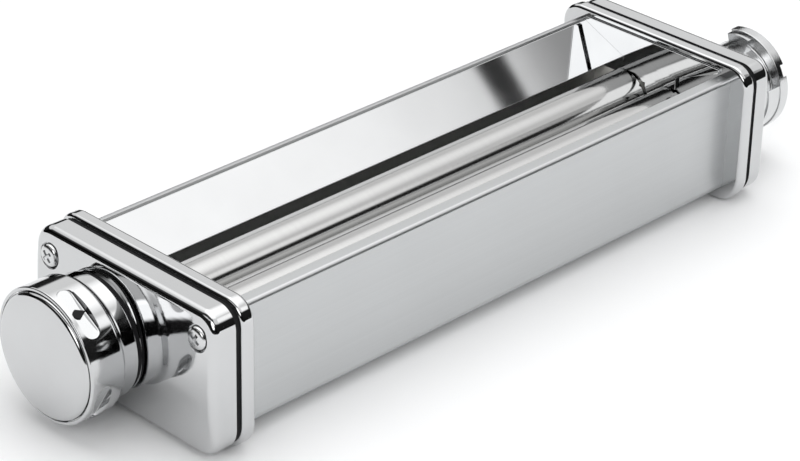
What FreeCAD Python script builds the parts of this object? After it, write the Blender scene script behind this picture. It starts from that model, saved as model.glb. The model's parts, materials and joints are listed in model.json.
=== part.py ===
"""Mixer-driven dough sheet roller, modelled as a parametric assembly.

X runs along the rollers, with the thickness knob at -X and the drive hub at +X. The front panel
faces -Y. Z is up, and Z = 0 is the surface that the two end frames stand on. Millimetres, degrees.
"""
import FreeCAD
import Part
import math
import os
import Sketcher
from FreeCAD import Vector

LEFT = -1
RIGHT = 1
FRONT = -1
REAR = 1

SIZES = [
    # Housing
    ("span", 176.0, "between the inner faces of the end frames"),
    ("frame_thick", 4.0, "end frame thickness"),
    ("frame_depth", 65.4, "end frame, front to back"),
    ("frame_height", 40.4, "end frame, foot to top"),
    ("frame_top_radius", 6.0, "upper corners of the end frame"),
    ("frame_foot_radius", 8.0, "lower corners of the end frame"),
    ("frame_edge", 1.1, "rounding round both faces of the end frame"),
    ("gasket_thick", 1.5, "dark gasket between end frame and cover"),
    ("gasket_inset", 1.2, "gasket edge inside the end frame's outline"),
    ("gasket_width", 1.8, "width of the gasket's band"),
    ("cover_reach", 5.8, "cover, from gasket to outer face"),
    ("cover_inset", 0.7, "cover edge inside the end frame's outline"),
    ("cover_wall", 1.6, "cover wall"),
    ("cover_edge", 2.0, "rounding of the cover's outer edge"),
    ("cover_crown", 1.5, "bulge of the left cover's face at mid height"),
    ("panel_depth", 54.6, "front panel to rear panel, outer faces"),
    ("sheet", 0.8, "sheet metal thickness"),
    ("front_top", 36.6, "top of the front panel"),
    ("rear_top", 37.1, "top of the rear panel"),
    ("panel_foot", 2.8, "underside of the panels"),
    ("front_hem", 3.9, "width of the front panel's top fold"),
    ("rear_hem", 2.1, "width of the rear panel's top fold"),
    ("top_bend", 1.2, "outer bend radius at the top of a panel"),
    ("foot_bend", 3.2, "outer bend radius at the foot of a panel"),
    ("outlet_width", 26.0, "opening between the panels' lower folds"),
    ("guide_foot", 15.7, "lower edge of a dough guide, from the middle"),
    ("guide_height", 26.2, "height of a dough guide's lower edge"),
    ("cheek_thick", 0.8, "polished cheek plate"),
    ("cheek_gap", 0.4, "cheek's lower edge above the rollers"),
    ("cheek_foot", 9.4, "half width of the cheek's tongue"),
    ("cheek_shoulder", 31.0, "height where the tongue widens"),
    ("cheek_wide", 23.6, "half width of the cheek at its top"),
    ("cheek_rise", 37.2, "height where the cheek is widest"),
    ("cheek_top", 38.4, "top edge of the cheek"),
    # Rollers and their bearings
    ("axis_height", 20.0, "height of the roller axes"),
    ("drive_offset", 7.6, "drive roller axis in front of the middle"),
    ("idle_offset", 8.3, "idle roller axis behind the middle"),
    ("roller_radius", 7.2, "roller barrel"),
    ("roller_chamfer", 0.4, "bevel on the barrel's ends"),
    ("end_gap", 0.3, "running gap at the ends of a moving piece"),
    ("journal_radius", 3.0, "roller journals"),
    ("running_gap", 0.05, "radial gap of a journal in its bearing"),
    ("seat_gap", 0.02, "radial gap of a piece that is fixed on its seat"),
    ("bush_radius", 4.5, "bearing bush, outside"),
    ("bush_flange_radius", 5.8, "bearing bush flange"),
    ("bush_flange", 0.3, "bearing bush flange thickness"),
    ("gap_travel", 1.1, "idle roller travel each way"),
    ("block_height", 11.0, "sliding bearing block"),
    ("block_front", 5.0, "block in front of the idle axis"),
    ("block_rear", 15.6, "block behind the idle axis"),
    ("slide_gap", 0.08, "block above and below in its slot"),
    ("stop_gap", 0.4, "slot beyond the block's travel"),
    ("bar_offset", 13.4, "carriage bar behind the idle axis"),
    ("bar_thick", 3.4, "carriage bar, front to back"),
    ("bar_height", 8.0, "carriage bar, top to bottom"),
    ("scraper_gap", 0.5, "scraper edge from its roller"),
    ("rod_radius", 2.5, "tie rods"),
    ("rod_offset", 20.5, "tie rods from the middle"),
    ("rod_height", 8.5, "tie rods above the foot"),
    # Gears
    ("gear_teeth", 10, "teeth on each gear"),
    ("gear_tip", 8.9, "gear tip radius"),
    ("gear_clearance", 0.25, "tip to root at the closest setting"),
    ("tooth_root", 2.0, "tooth width at the root"),
    ("tooth_tip", 1.0, "tooth width at the tip"),
    ("gear_width", 2.8, "gear face width"),
    ("clip_radius", 4.6, "retaining ring"),
    ("clip_thick", 0.6, "retaining ring thickness"),
    # Fasteners
    ("screw_radius", 1.5, "cover and tie rod screws"),
    ("screw_play", 0.1, "radial play of a screw in its hole"),
    ("head_radius", 3.0, "screw head"),
    ("head_height", 1.8, "screw head height"),
    ("head_sink", 0.8, "cover screw head below the cover's face"),
    ("cross_width", 0.8, "arm width of the cross recess"),
    ("cross_length", 3.2, "arm length of the cross recess"),
    ("cross_depth", 0.9, "depth of the cross recess"),
    ("cover_screw_drop", 7.6, "cover screws below the top of the end frame"),
    ("cover_screw_grip", 3.2, "cover screw length in the end frame"),
    ("boss_radius", 3.2, "screw boss in a cover"),
    ("boss_gap", 0.2, "screw boss from the gasket"),
    ("bolt_radius", 1.2, "carriage and hub screws"),
    ("bolt_head", 2.3, "carriage and hub screw heads"),
    ("bolt_head_height", 1.5, "carriage and hub screw head height"),
    ("bolt_grip", 6.0, "carriage and hub screw length in the piece held"),
    # Thickness adjuster and knob
    ("knob_offset", 7.7, "knob axis behind the middle"),
    ("knob_turn", 288.0, "turn of the knob from the widest gap to the thinnest"),
    ("cam_radius", 11.0, "cam disc"),
    ("cam_thick", 2.8, "cam disc thickness"),
    ("cam_track", 7.1, "track radius at the middle setting"),
    ("track_depth", 1.8, "depth of the spiral track"),
    ("track_play", 0.2, "track wall from the follower pin"),
    ("pin_radius", 1.2, "follower pin"),
    ("pin_seat", 3.0, "follower pin length in the block"),
    ("shaft_radius", 5.0, "adjuster shaft in its bush"),
    ("shaft_tail", 3.5, "adjuster shaft in the cam"),
    ("hex_radius", 4.2, "adjuster shaft hexagon, over its corners"),
    ("hex_play", 0.06, "knob bore from the hexagon"),
    ("knob_bush_radius", 6.5, "adjuster bush, outside"),
    ("knob_bush_flange", 8.0, "adjuster bush flange"),
    ("boss_reach", 1.9, "round boss on the left cover"),
    ("neck_radius", 15.8, "knob neck and cover boss"),
    ("seal_thick", 0.8, "dark ring behind the knob"),
    ("seal_radius", 15.0, "dark ring, outside"),
    ("seal_bore", 11.0, "dark ring, inside"),
    ("knob_gap", 0.2, "knob from the dark ring"),
    ("neck_length", 4.2, "straight neck of the knob"),
    ("cove", 1.5, "hollow between the knob's neck and head"),
    ("head_radius_knob", 17.2, "knob head"),
    ("knob_length", 15.0, "knob from back to rim"),
    ("rim_width", 0.9, "knob rim round the cap"),
    ("rim_round", 0.4, "rounding of the knob's rim"),
    ("knob_web", 3.0, "knob wall at the back"),
    ("knob_cavity", 9.0, "spring space in the knob"),
    ("cap_seat", 1.6, "depth of the cap's seat"),
    ("cap_gap", 0.25, "dark line between the cap and the rim"),
    ("cap_sink", 0.4, "start of the cap's rounding below the rim"),
    ("cap_edge", 1.3, "rounding between the cap's side and its dome"),
    ("cap_slope", 10.0, "slope of the dome where it meets the rounding"),
    ("dimple_count", 4, "finger flats round the knob"),
    ("dimple_length", 14.4, "finger flat along the rim"),
    ("dimple_width", 4.4, "finger flat along the axis"),
    ("dimple_floor", 15.6, "finger flat from the knob axis"),
    ("dimple_centre", 3.6, "finger flat's middle from the rim"),
    ("dimple_tilt", 31.5, "turn of the first finger flat towards the front"),
    ("mark_radius", 1.3, "index mark"),
    ("mark_point", 2.2, "index mark, middle to point"),
    ("mark_thick", 0.3, "index mark"),
    ("knob_pull", 3.0, "outward travel of the knob"),
    ("retainer_radius", 7.0, "retainer washer in the knob"),
    ("retainer_thick", 1.4, "retainer washer"),
    ("spring_room", 5.6, "spring length in the knob"),
    # Drive hub
    ("hub_reach", 21.9, "hub from the right cover's face"),
    ("hub_neck", 11.4, "hub neck"),
    ("hub_radius", 14.8, "hub flange"),
    ("hub_collar", 8.2, "raised end of the saddle, with the flange"),
    ("hub_flange", 3.4, "thickness of the end flange"),
    ("hub_bore", 8.6, "socket in the hub"),
    ("hub_web", 3.0, "hub wall at the cover"),
    ("saddle_drop", 0.7, "saddle and stop lug below the flange"),
    ("saddle_start", 168.0, "full length sector of the hub, first edge"),
    ("saddle_sweep", 172.0, "full length sector of the hub"),
    ("lug_start", 74.0, "stop lug, first edge"),
    ("lug_sweep", 30.0, "stop lug"),
    ("lug_length", 1.8, "stop lug in front of the flange"),
    ("notch_angle", 153.0, "entry notch in the flange"),
    ("notch_width", 3.4, "entry notch"),
    ("notch_depth", 1.7, "entry notch along the axis"),
    ("hub_screw_circle", 12.3, "hub screws from the hub axis"),
    ("shaft_play", 0.6, "hub and cover from the drive shaft"),
    ("tang_width", 8.0, "square drive tang"),
    ("tang_start", 4.6, "tang from the right cover's face"),
    ("tang_length", 12.6, "drive tang"),
    ("tang_edge", 1.0, "bevel on the tang's corners"),
    ("tang_bore", 7.0, "depth of the shaft in the tang"),
]


class Size:
    """A sheet value, or a sum on sheet values: its number now and the text that binds it."""

    def __init__(self, number, text):
        self.number = number
        self.text = text

    def joined(self, sign, other, number):
        return Size(number, f"({self.text} {sign} {other.text})")

    def __add__(self, other):
        other = as_size(other)
        return self.joined("+", other, self.number + other.number)

    def __sub__(self, other):
        other = as_size(other)
        return self.joined("-", other, self.number - other.number)

    def __mul__(self, other):
        other = as_size(other)
        return self.joined("*", other, self.number * other.number)

    def __truediv__(self, other):
        other = as_size(other)
        return self.joined("/", other, self.number / other.number)

    def __neg__(self):
        return self * -1

    def __radd__(self, other):
        return as_size(other) + self

    def __rsub__(self, other):
        return as_size(other) - self

    def __rmul__(self, other):
        return as_size(other) * self

    def __rtruediv__(self, other):
        return as_size(other) / self


def as_size(value):
    return value if isinstance(value, Size) else Size(value, f"({value!r})")


def cosine(angle):
    angle = as_size(angle)
    return Size(math.cos(math.radians(angle.number)), f"cos({angle.text})")


def sine(angle):
    angle = as_size(angle)
    return Size(math.sin(math.radians(angle.number)), f"sin({angle.text})")


class Sheet:
    """The driving dimensions, one attribute for each row of the spreadsheet."""

    def __init__(self, rows):
        table = doc.addObject("Spreadsheet::Sheet", "Sizes")
        for row, (name, number, note) in enumerate(rows, start=1):
            table.set(f"A{row}", name)
            table.set(f"B{row}", str(number))
            table.set(f"C{row}", note)
            table.setAlias(f"B{row}", name)
            setattr(self, name, Size(number, f"Sizes.{name}"))
        doc.recompute()


doc = FreeCAD.newDocument("sheet_roller")
s = Sheet(SIZES)
parts = []

HALF_SPAN = s.span / 2
FRAME_OUT = HALF_SPAN + s.frame_thick
COVER_IN = FRAME_OUT + s.gasket_thick
COVER_OUT = COVER_IN + s.cover_reach
COVER_FLOOR = COVER_OUT - s.cover_wall
BOSS_OUT = COVER_OUT + s.boss_reach
SEAL_OUT = BOSS_OUT + s.seal_thick
KNOB_BACK = SEAL_OUT + s.knob_gap
KNOB_RIM = KNOB_BACK + s.knob_length
FLANGE_OUT = FRAME_OUT + s.bush_flange
CAM_NEAR = FLANGE_OUT + s.end_gap
CAM_FAR = CAM_NEAR + s.cam_thick
GEAR_NEAR = FLANGE_OUT + s.end_gap
GEAR_FAR = GEAR_NEAR + s.gear_width
BARREL_END = HALF_SPAN - s.end_gap
HUB_END = COVER_OUT + s.hub_reach
HALF_PANEL = s.panel_depth / 2
SCREW_HOLE = s.screw_radius + s.screw_play
COVER_SCREW_Y = s.frame_depth / 2 - s.gasket_inset - s.gasket_width - s.boss_gap - s.boss_radius
COVER_SCREW_Z = s.frame_height - s.cover_screw_drop


# Document helpers

def bind(thing, path, size):
    """Bind one property to the sheet."""
    thing.setExpression(path, as_size(size).text)


def new_body(label, y=0, z=0, tilt=None):
    """A body whose origin stands at (0, y, z), turned by tilt about X."""
    body = doc.addObject("PartDesign::Body", label)
    body.Label = label
    if tilt is not None:
        body.Placement = FreeCAD.Placement(Vector(), FreeCAD.Rotation(Vector(1, 0, 0), tilt.number))
        bind(body, "Placement.Rotation.Angle", tilt)
    bind(body, "Placement.Base.y", y)
    bind(body, "Placement.Base.z", z)
    return body


def keep(thing):
    parts.append(thing)
    return thing


def new_sketch(body, plane, lift=None):
    """A sketch on one of the body's origin planes, lifted along the plane's normal."""
    sketch = body.newObject("Sketcher::SketchObject", f"{body.Label}_sketch")
    support = [item for item in body.Origin.OriginFeatures if item.Role == plane][0]
    sketch.AttachmentSupport = (support, [""])
    sketch.MapMode = "FlatFace"
    if lift is not None:
        bind(sketch, "AttachmentOffset.Base.z", lift)
    return sketch


def name_constraint(sketch, constraint, size):
    index = sketch.addConstraint(constraint)
    if isinstance(size, Size):
        name = f"size_{index}"
        sketch.renameConstraint(index, name)
        bind(sketch, f"Constraints.{name}", size)


def outline(sketch, corners):
    """Close a profile through (across, up) corners.

    A third item, (turn, radius), makes the stretch that leaves the corner an arc of less than a
    half circle, where turn is 1 for anticlockwise and -1 for clockwise.
    """
    spots = [Vector(as_size(corner[0]).number, as_size(corner[1]).number, 0) for corner in corners]
    edges = []
    for index, corner in enumerate(corners):
        start = spots[index]
        end = spots[(index + 1) % len(spots)]
        if len(corner) == 2:
            edge = sketch.addGeometry(Part.LineSegment(start, end), False)
            edges.append((edge, 1, 2, None))
            continue
        turn, radius = corner[2]
        reach = radius.number
        chord = end - start
        side = Vector(-chord.y, chord.x, 0).normalize()
        centre = (start + end) / 2 + side * (turn * math.sqrt(reach ** 2 - (chord.Length / 2) ** 2))
        first, last = (start, end) if turn > 0 else (end, start)
        angles = [math.atan2(spot.y - centre.y, spot.x - centre.x) for spot in (first, last)]
        circle = Part.Circle(centre, Vector(0, 0, 1), reach)
        edge = sketch.addGeometry(Part.ArcOfCircle(circle, *angles), False)
        ends = (1, 2) if turn > 0 else (2, 1)
        edges.append((edge, *ends, radius))
    for index, (edge, start, end, radius) in enumerate(edges):
        following, next_start = edges[(index + 1) % len(edges)][:2]
        sketch.addConstraint(Sketcher.Constraint("Coincident", edge, end, following, next_start))
        for kind, place, number in (("DistanceX", corners[index][0], spots[index].x),
                                    ("DistanceY", corners[index][1], spots[index].y)):
            name_constraint(sketch, Sketcher.Constraint(kind, edge, start, number), place)
        if radius is not None:
            name_constraint(sketch, Sketcher.Constraint("Radius", edge, radius.number), radius)


def circle(sketch, across, up, radius):
    spot = Vector(as_size(across).number, as_size(up).number, 0)
    edge = sketch.addGeometry(Part.Circle(spot, Vector(0, 0, 1), radius.number), False)
    name_constraint(sketch, Sketcher.Constraint("DistanceX", edge, 3, spot.x), across)
    name_constraint(sketch, Sketcher.Constraint("DistanceY", edge, 3, spot.y), up)
    name_constraint(sketch, Sketcher.Constraint("Radius", edge, radius.number), radius)


def rounded_box(sketch, inset):
    """The end frame's outline, drawn in by inset, with its lower and upper corner radii."""
    wide = s.frame_depth / 2 - inset
    low = as_size(inset)
    high = s.frame_height - inset
    foot = s.frame_foot_radius - inset
    top = s.frame_top_radius - inset
    outline(sketch, [
        (foot - wide, low), (wide - foot, low, (1, foot)),
        (wide, low + foot), (wide, high - top, (1, top)),
        (wide - top, high), (top - wide, high, (1, top)),
        (-wide, high - top), (-wide, low + foot, (1, foot)),
    ])


def rectangle(sketch, left, right, low, high):
    outline(sketch, [(left, low), (right, low), (right, high), (left, high)])


def along_x(side, near, far):
    """Start and length of a stretch from near to far, on one side of the middle."""
    return (near if side == RIGHT else -far), far - near


def x_sketch(body, side, near, far):
    start, length = along_x(side, near, far)
    sketch = new_sketch(body, "YZ_Plane", start)
    return sketch, length


def pad(body, sketch, length):
    feature = body.newObject("PartDesign::Pad", f"{body.Label}_pad")
    feature.Profile = sketch
    bind(feature, "Length", length)
    doc.recompute()
    return feature


def pocket(body, sketch, length):
    """Cut along the sketch's normal."""
    before = body.Shape.Volume
    feature = body.newObject("PartDesign::Pocket", f"{body.Label}_pocket")
    feature.Profile = sketch
    feature.Reversed = True
    bind(feature, "Length", length)
    doc.recompute()
    if body.Shape.Volume >= before:
        raise RuntimeError(f"{body.Label}: a pocket cut nothing")
    return feature


def revolve(body, corners):
    """Turn a profile of (along X, radius) corners about the body's X axis."""
    sketch = new_sketch(body, "XY_Plane")
    outline(sketch, corners)
    feature = body.newObject("PartDesign::Revolution", f"{body.Label}_turned")
    feature.Profile = sketch
    feature.ReferenceAxis = (sketch, ["H_Axis"])
    feature.Angle = 360
    doc.recompute()
    return feature


def sided(side, corners):
    """Turn a profile drawn for the right end into one for either end."""
    if side == RIGHT:
        return corners
    flipped = []
    for corner in corners:
        arc = corner[2:]
        if arc:
            arc = ((-arc[0][0], arc[0][1]),)
        flipped.append((-as_size(corner[0]), corner[1], *arc))
    return flipped


def repeat_round(body, feature, count):
    pattern = body.newObject("PartDesign::PolarPattern", f"{body.Label}_pattern")
    pattern.Originals = [feature]
    axis = [item for item in body.Origin.OriginFeatures if item.Role == "X_Axis"][0]
    pattern.Axis = (axis, [""])
    pattern.Angle = 360
    bind(pattern, "Occurrences", count)
    body.Tip = pattern
    doc.recompute()


def round_edges(body, wanted, radius, kind="Fillet"):
    """Round or bevel the edges of the body that wanted picks."""
    tip = body.Tip
    names = [f"Edge{index}" for index, edge in enumerate(tip.Shape.Edges, start=1) if wanted(edge)]
    feature = body.newObject(f"PartDesign::{kind}", f"{body.Label}_{kind.lower()}")
    feature.Base = (tip, names)
    bind(feature, "Radius" if kind == "Fillet" else "Size", radius)
    body.Tip = feature
    doc.recompute()


def on_plane_x(place):
    """A test for edges that lie wholly in the plane X = place."""
    def lies(edge):
        box = edge.BoundBox
        return max(abs(box.XMin - place.number), abs(box.XMax - place.number)) < 1e-4
    return lies


def group(label, members):
    """Identical pieces under one name, as separate solids."""
    made = doc.addObject("Part::Compound", label)
    made.Label = label
    made.Links = members
    return keep(made)


def sector(sketch, inner, outer, start, sweep):
    """A ring sector, with its arcs in two halves."""
    spots = [start + sweep * share for share in (0, 0.5, 1)]

    def at(radius, angle):
        return radius * cosine(angle), radius * sine(angle)

    outline(sketch, [
        (*at(outer, spots[0]), (1, outer)), (*at(outer, spots[1]), (1, outer)), at(outer, spots[2]),
        (*at(inner, spots[2]), (-1, inner)), (*at(inner, spots[1]), (-1, inner)), at(inner, spots[0]),
    ])


# Housing

def end_frame(label, side):
    """Polished end frame with the bush bore, the slot of the bearing block and screw holes."""
    body = new_body(label)
    sketch, thick = x_sketch(body, side, HALF_SPAN, FRAME_OUT)
    rounded_box(sketch, 0)
    pad(body, sketch, thick)
    for face in (HALF_SPAN, FRAME_OUT):
        round_edges(body, on_plane_x(side * face), s.frame_edge)
    sketch, thick = x_sketch(body, side, HALF_SPAN, FRAME_OUT)
    circle(sketch, -s.drive_offset, s.axis_height, s.bush_radius + s.seat_gap)
    beyond = s.gap_travel + s.stop_gap
    half = s.block_height / 2 + s.slide_gap
    rectangle(sketch, s.idle_offset - s.block_front - beyond, s.idle_offset + s.block_rear + beyond,
              s.axis_height - half, s.axis_height + half)
    for place in (-s.rod_offset, s.rod_offset):
        circle(sketch, place, s.rod_height, SCREW_HOLE)
    pocket(body, sketch, thick)
    sketch, depth = x_sketch(body, side, FRAME_OUT - s.cover_screw_grip, FRAME_OUT)
    for place in (-COVER_SCREW_Y, COVER_SCREW_Y):
        circle(sketch, place, COVER_SCREW_Z, SCREW_HOLE)
    pocket(body, sketch, depth)
    return keep(body)


def gasket(label, side):
    body = new_body(label)
    sketch, thick = x_sketch(body, side, FRAME_OUT, COVER_IN)
    rounded_box(sketch, s.gasket_inset)
    rounded_box(sketch, s.gasket_inset + s.gasket_width)
    pad(body, sketch, thick)
    return keep(body)


def crown_face(body, peak):
    """Cut a padded cover to an arc that falls from its peak at mid height to the upper and lower edges."""
    low = s.cover_inset
    high = s.frame_height - s.cover_inset
    half = (high - low) / 2
    radius = (half * half + s.cover_crown * s.cover_crown) / (2 * s.cover_crown)
    edge = peak - s.cover_crown
    beyond = peak + s.cover_wall
    sketch = new_sketch(body, "XZ_Plane", -s.frame_depth / 2)
    outline(sketch, [
        (-edge, low, (-1, radius)), (-edge, high), (-beyond, high), (-beyond, low),
    ])
    pocket(body, sketch, s.frame_depth)


def beyond_x(place):
    """A test for edges that lie on or outside the plane X = place."""
    def lies(edge):
        box = edge.BoundBox
        return min(abs(box.XMin), abs(box.XMax)) > abs(place.number) - 1e-4
    return lies


def cover(label, side):
    """Deep-drawn cup with screw bosses; the left one carries the knob boss, the right one the hub."""
    body = new_body(label)
    face = COVER_OUT
    seat = COVER_OUT - s.head_sink
    if side == LEFT:
        face = COVER_OUT + s.cover_crown
        seat = COVER_OUT
    sketch, reach = x_sketch(body, side, COVER_IN, face)
    rounded_box(sketch, s.cover_inset)
    pad(body, sketch, reach)
    if side == LEFT:
        crown_face(body, face)
    round_edges(body, beyond_x(side * COVER_OUT), s.cover_edge)
    sketch, depth = x_sketch(body, side, COVER_IN, COVER_FLOOR)
    rounded_box(sketch, s.cover_inset + s.cover_wall)
    pocket(body, sketch, depth)
    sketch, reach = x_sketch(body, side, FRAME_OUT, seat)
    for place in (-COVER_SCREW_Y, COVER_SCREW_Y):
        circle(sketch, place, COVER_SCREW_Z, s.boss_radius)
    pad(body, sketch, reach)
    if side == LEFT:
        sketch, reach = x_sketch(body, side, COVER_FLOOR, BOSS_OUT)
        circle(sketch, s.knob_offset, s.axis_height, s.neck_radius)
        pad(body, sketch, reach)
        sketch, depth = x_sketch(body, side, COVER_FLOOR, BOSS_OUT)
        circle(sketch, s.knob_offset, s.axis_height, s.knob_bush_radius + s.seat_gap)
        pocket(body, sketch, depth)
    else:
        sketch, depth = x_sketch(body, side, COVER_FLOOR, COVER_OUT)
        circle(sketch, -s.drive_offset, s.axis_height, s.journal_radius + s.shaft_play)
        for across, up in hub_screw_places():
            circle(sketch, across - s.drive_offset, up + s.axis_height, s.bolt_radius + s.screw_play)
        pocket(body, sketch, depth)
    sketch, depth = x_sketch(body, side, FRAME_OUT, face)
    for place in (-COVER_SCREW_Y, COVER_SCREW_Y):
        circle(sketch, place, COVER_SCREW_Z, SCREW_HOLE)
    pocket(body, sketch, depth)
    sketch, depth = x_sketch(body, side, seat, face)
    for place in (-COVER_SCREW_Y, COVER_SCREW_Y):
        circle(sketch, place, COVER_SCREW_Z, s.head_radius + 3 * s.screw_play)
    pocket(body, sketch, depth)
    return keep(body)


def panel(label, face, top, hem):
    """Folded sheet: top hem, upright wall and a lower fold that leaves the outlet open."""
    body = new_body(label)
    sketch = new_sketch(body, "YZ_Plane", -HALF_SPAN)
    wall = HALF_PANEL
    low = s.panel_foot
    bend = s.top_bend
    turn = s.foot_bend
    tip = s.outlet_width / 2
    corners = [
        (wall - hem, top), (wall - bend, top, (-1, bend)),
        (wall, top - bend), (wall, low + turn, (-1, turn)),
        (wall - turn, low), (tip, low), (tip, low + s.sheet),
        (wall - turn, low + s.sheet, (1, turn - s.sheet)),
        (wall - s.sheet, low + turn), (wall - s.sheet, top - bend, (1, bend - s.sheet)),
        (wall - bend, top - s.sheet), (wall - hem, top - s.sheet),
    ]
    outline(sketch, sided(face, corners))
    pad(body, sketch, s.span)
    return keep(body)


def guide(label, face, top, hem):
    """Sloped dough guide whose lip lies under the panel's hem."""
    body = new_body(label)
    sketch = new_sketch(body, "YZ_Plane", -HALF_SPAN)
    lip_end = HALF_PANEL - s.top_bend
    lip_top = top - s.sheet
    lip_low = lip_top - s.sheet
    bend = HALF_PANEL - hem
    foot = s.guide_foot
    rise = lip_top - s.guide_height
    slant = (bend - foot) / rise
    thick = s.sheet * 1.35
    corners = [
        (lip_end, lip_top), (bend, lip_top), (foot, s.guide_height), (foot + thick, s.guide_height),
        (foot + thick + slant * (lip_low - s.guide_height), lip_low), (lip_end, lip_low),
    ]
    outline(sketch, sided(face, corners))
    pad(body, sketch, s.span)
    return keep(body)


def cheek(label, side):
    """Mirror-polished plate that closes the end of the hopper above the rollers."""
    body = new_body(label)
    sketch, thick = x_sketch(body, side, HALF_SPAN - s.cheek_thick, HALF_SPAN)
    low = s.axis_height + s.roller_radius + s.cheek_gap
    half = [
        (s.cheek_foot, low), (s.cheek_foot, s.cheek_shoulder),
        (s.cheek_wide, s.cheek_rise), (s.cheek_wide, s.cheek_top),
    ]
    outline(sketch, half + [(-across, up) for across, up in reversed(half)])
    pad(body, sketch, thick)
    return keep(body)


def front_scraper():
    """Strip on the front panel's lower fold that keeps the sheet from following the roller."""
    body = new_body("front_scraper")
    sketch = new_sketch(body, "YZ_Plane", s.end_gap - HALF_SPAN)
    floor = s.panel_foot + s.sheet
    reach = (s.roller_radius + s.scraper_gap + s.sheet) * math.cos(math.radians(45))
    tip_y = -s.drive_offset - reach
    tip_z = s.axis_height - reach
    heel = -s.outlet_width / 2 - 3.0
    outline(sketch, [
        (heel - s.bar_height, floor), (heel, floor), (tip_y, tip_z - s.sheet), (tip_y, tip_z + s.sheet / 2),
        (heel - s.sheet, floor + s.sheet), (heel - s.bar_height, floor + s.sheet),
    ])
    pad(body, sketch, s.span - 2 * s.end_gap)
    return keep(body)


def tie_rods():
    """Two rods that space the end frames, with a screw into each end."""
    rods = []
    for face, label in ((FRONT, "front_rod"), (REAR, "rear_rod")):
        body = new_body(label, face * s.rod_offset, s.rod_height)
        sketch = new_sketch(body, "YZ_Plane", -HALF_SPAN)
        circle(sketch, 0, 0, s.rod_radius)
        pad(body, sketch, s.span)
        for side in (LEFT, RIGHT):
            sketch, depth = x_sketch(body, side, HALF_SPAN - s.bolt_grip, HALF_SPAN)
            circle(sketch, 0, 0, SCREW_HOLE)
            pocket(body, sketch, depth)
        rods.append(body)
    group("tie_rods", rods)


def screw(label, side, y, z, tip, seat, radius, head, height):
    """A pan-head screw with a cross recess: shank from tip to seat, then the head."""
    body = new_body(label, y, z)
    crown = height / 2
    top = seat + height
    revolve(body, sided(side, [
        (tip, 0), (tip, radius), (seat, radius), (seat, head),
        (top - crown, head, (1, crown)), (top, head - crown), (top, 0),
    ]))
    sketch, depth = x_sketch(body, side, top - s.cross_depth, top)
    arm = s.cross_width / 2
    reach = s.cross_length / 2 * (head / s.head_radius)
    outline(sketch, [
        (reach, -arm), (reach, arm), (arm, arm), (arm, reach), (-arm, reach), (-arm, arm),
        (-reach, arm), (-reach, -arm), (-arm, -arm), (-arm, -reach), (arm, -reach), (arm, -arm),
    ])
    pocket(body, sketch, depth)
    return body


def cover_screws(label, side):
    tip = FRAME_OUT - s.cover_screw_grip + s.screw_play
    seat = COVER_OUT if side == LEFT else COVER_OUT - s.head_sink
    group(label, [
        screw(f"{label}_{index}", side, place, COVER_SCREW_Z, tip, seat,
              s.screw_radius, s.head_radius, s.head_height)
        for index, place in enumerate((-COVER_SCREW_Y, COVER_SCREW_Y))
    ])


def tie_rod_screws():
    tip = HALF_SPAN - s.bolt_grip + s.screw_play
    places = [(side, face * s.rod_offset) for side in (LEFT, RIGHT) for face in (FRONT, REAR)]
    group("tie_rod_screws", [
        screw(f"tie_rod_screw_{index}", side, place, s.rod_height, tip, FRAME_OUT,
              s.screw_radius, s.head_radius, s.head_height)
        for index, (side, place) in enumerate(places)
    ])


def drive_bush(label, side):
    """Flanged bush of the drive roller in an end frame."""
    body = new_body(label, -s.drive_offset, s.axis_height)
    bore = s.journal_radius + s.running_gap
    revolve(body, sided(side, [
        (HALF_SPAN, bore), (HALF_SPAN, s.bush_radius), (FRAME_OUT, s.bush_radius),
        (FRAME_OUT, s.bush_flange_radius), (FLANGE_OUT, s.bush_flange_radius), (FLANGE_OUT, bore),
    ]))
    return keep(body)


def knob_bush():
    """Bush of the adjuster shaft in the left cover's boss."""
    body = new_body("adjuster_bush", s.knob_offset, s.axis_height)
    bore = s.shaft_radius + s.running_gap
    near = CAM_FAR + s.end_gap
    revolve(body, sided(LEFT, [
        (near, bore), (near, s.knob_bush_flange), (COVER_FLOOR, s.knob_bush_flange),
        (COVER_FLOOR, s.knob_bush_radius), (BOSS_OUT, s.knob_bush_radius), (BOSS_OUT, bore),
    ]))
    return keep(body)


def knob_seal():
    """Dark ring in the groove between the boss and the knob."""
    body = new_body("knob_seal", s.knob_offset, s.axis_height)
    revolve(body, sided(LEFT, [
        (BOSS_OUT, s.seal_bore), (BOSS_OUT, s.seal_radius), (SEAL_OUT, s.seal_radius), (SEAL_OUT, s.seal_bore),
    ]))
    return keep(body)


# Drive hub

def hub_screw_places():
    """Hub screws, spaced along the full length sector, from the hub axis."""
    spots = [s.saddle_start + s.saddle_sweep * share for share in (0.18, 0.5, 0.82)]
    return [(s.hub_screw_circle * cosine(spot), s.hub_screw_circle * sine(spot)) for spot in spots]


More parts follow.
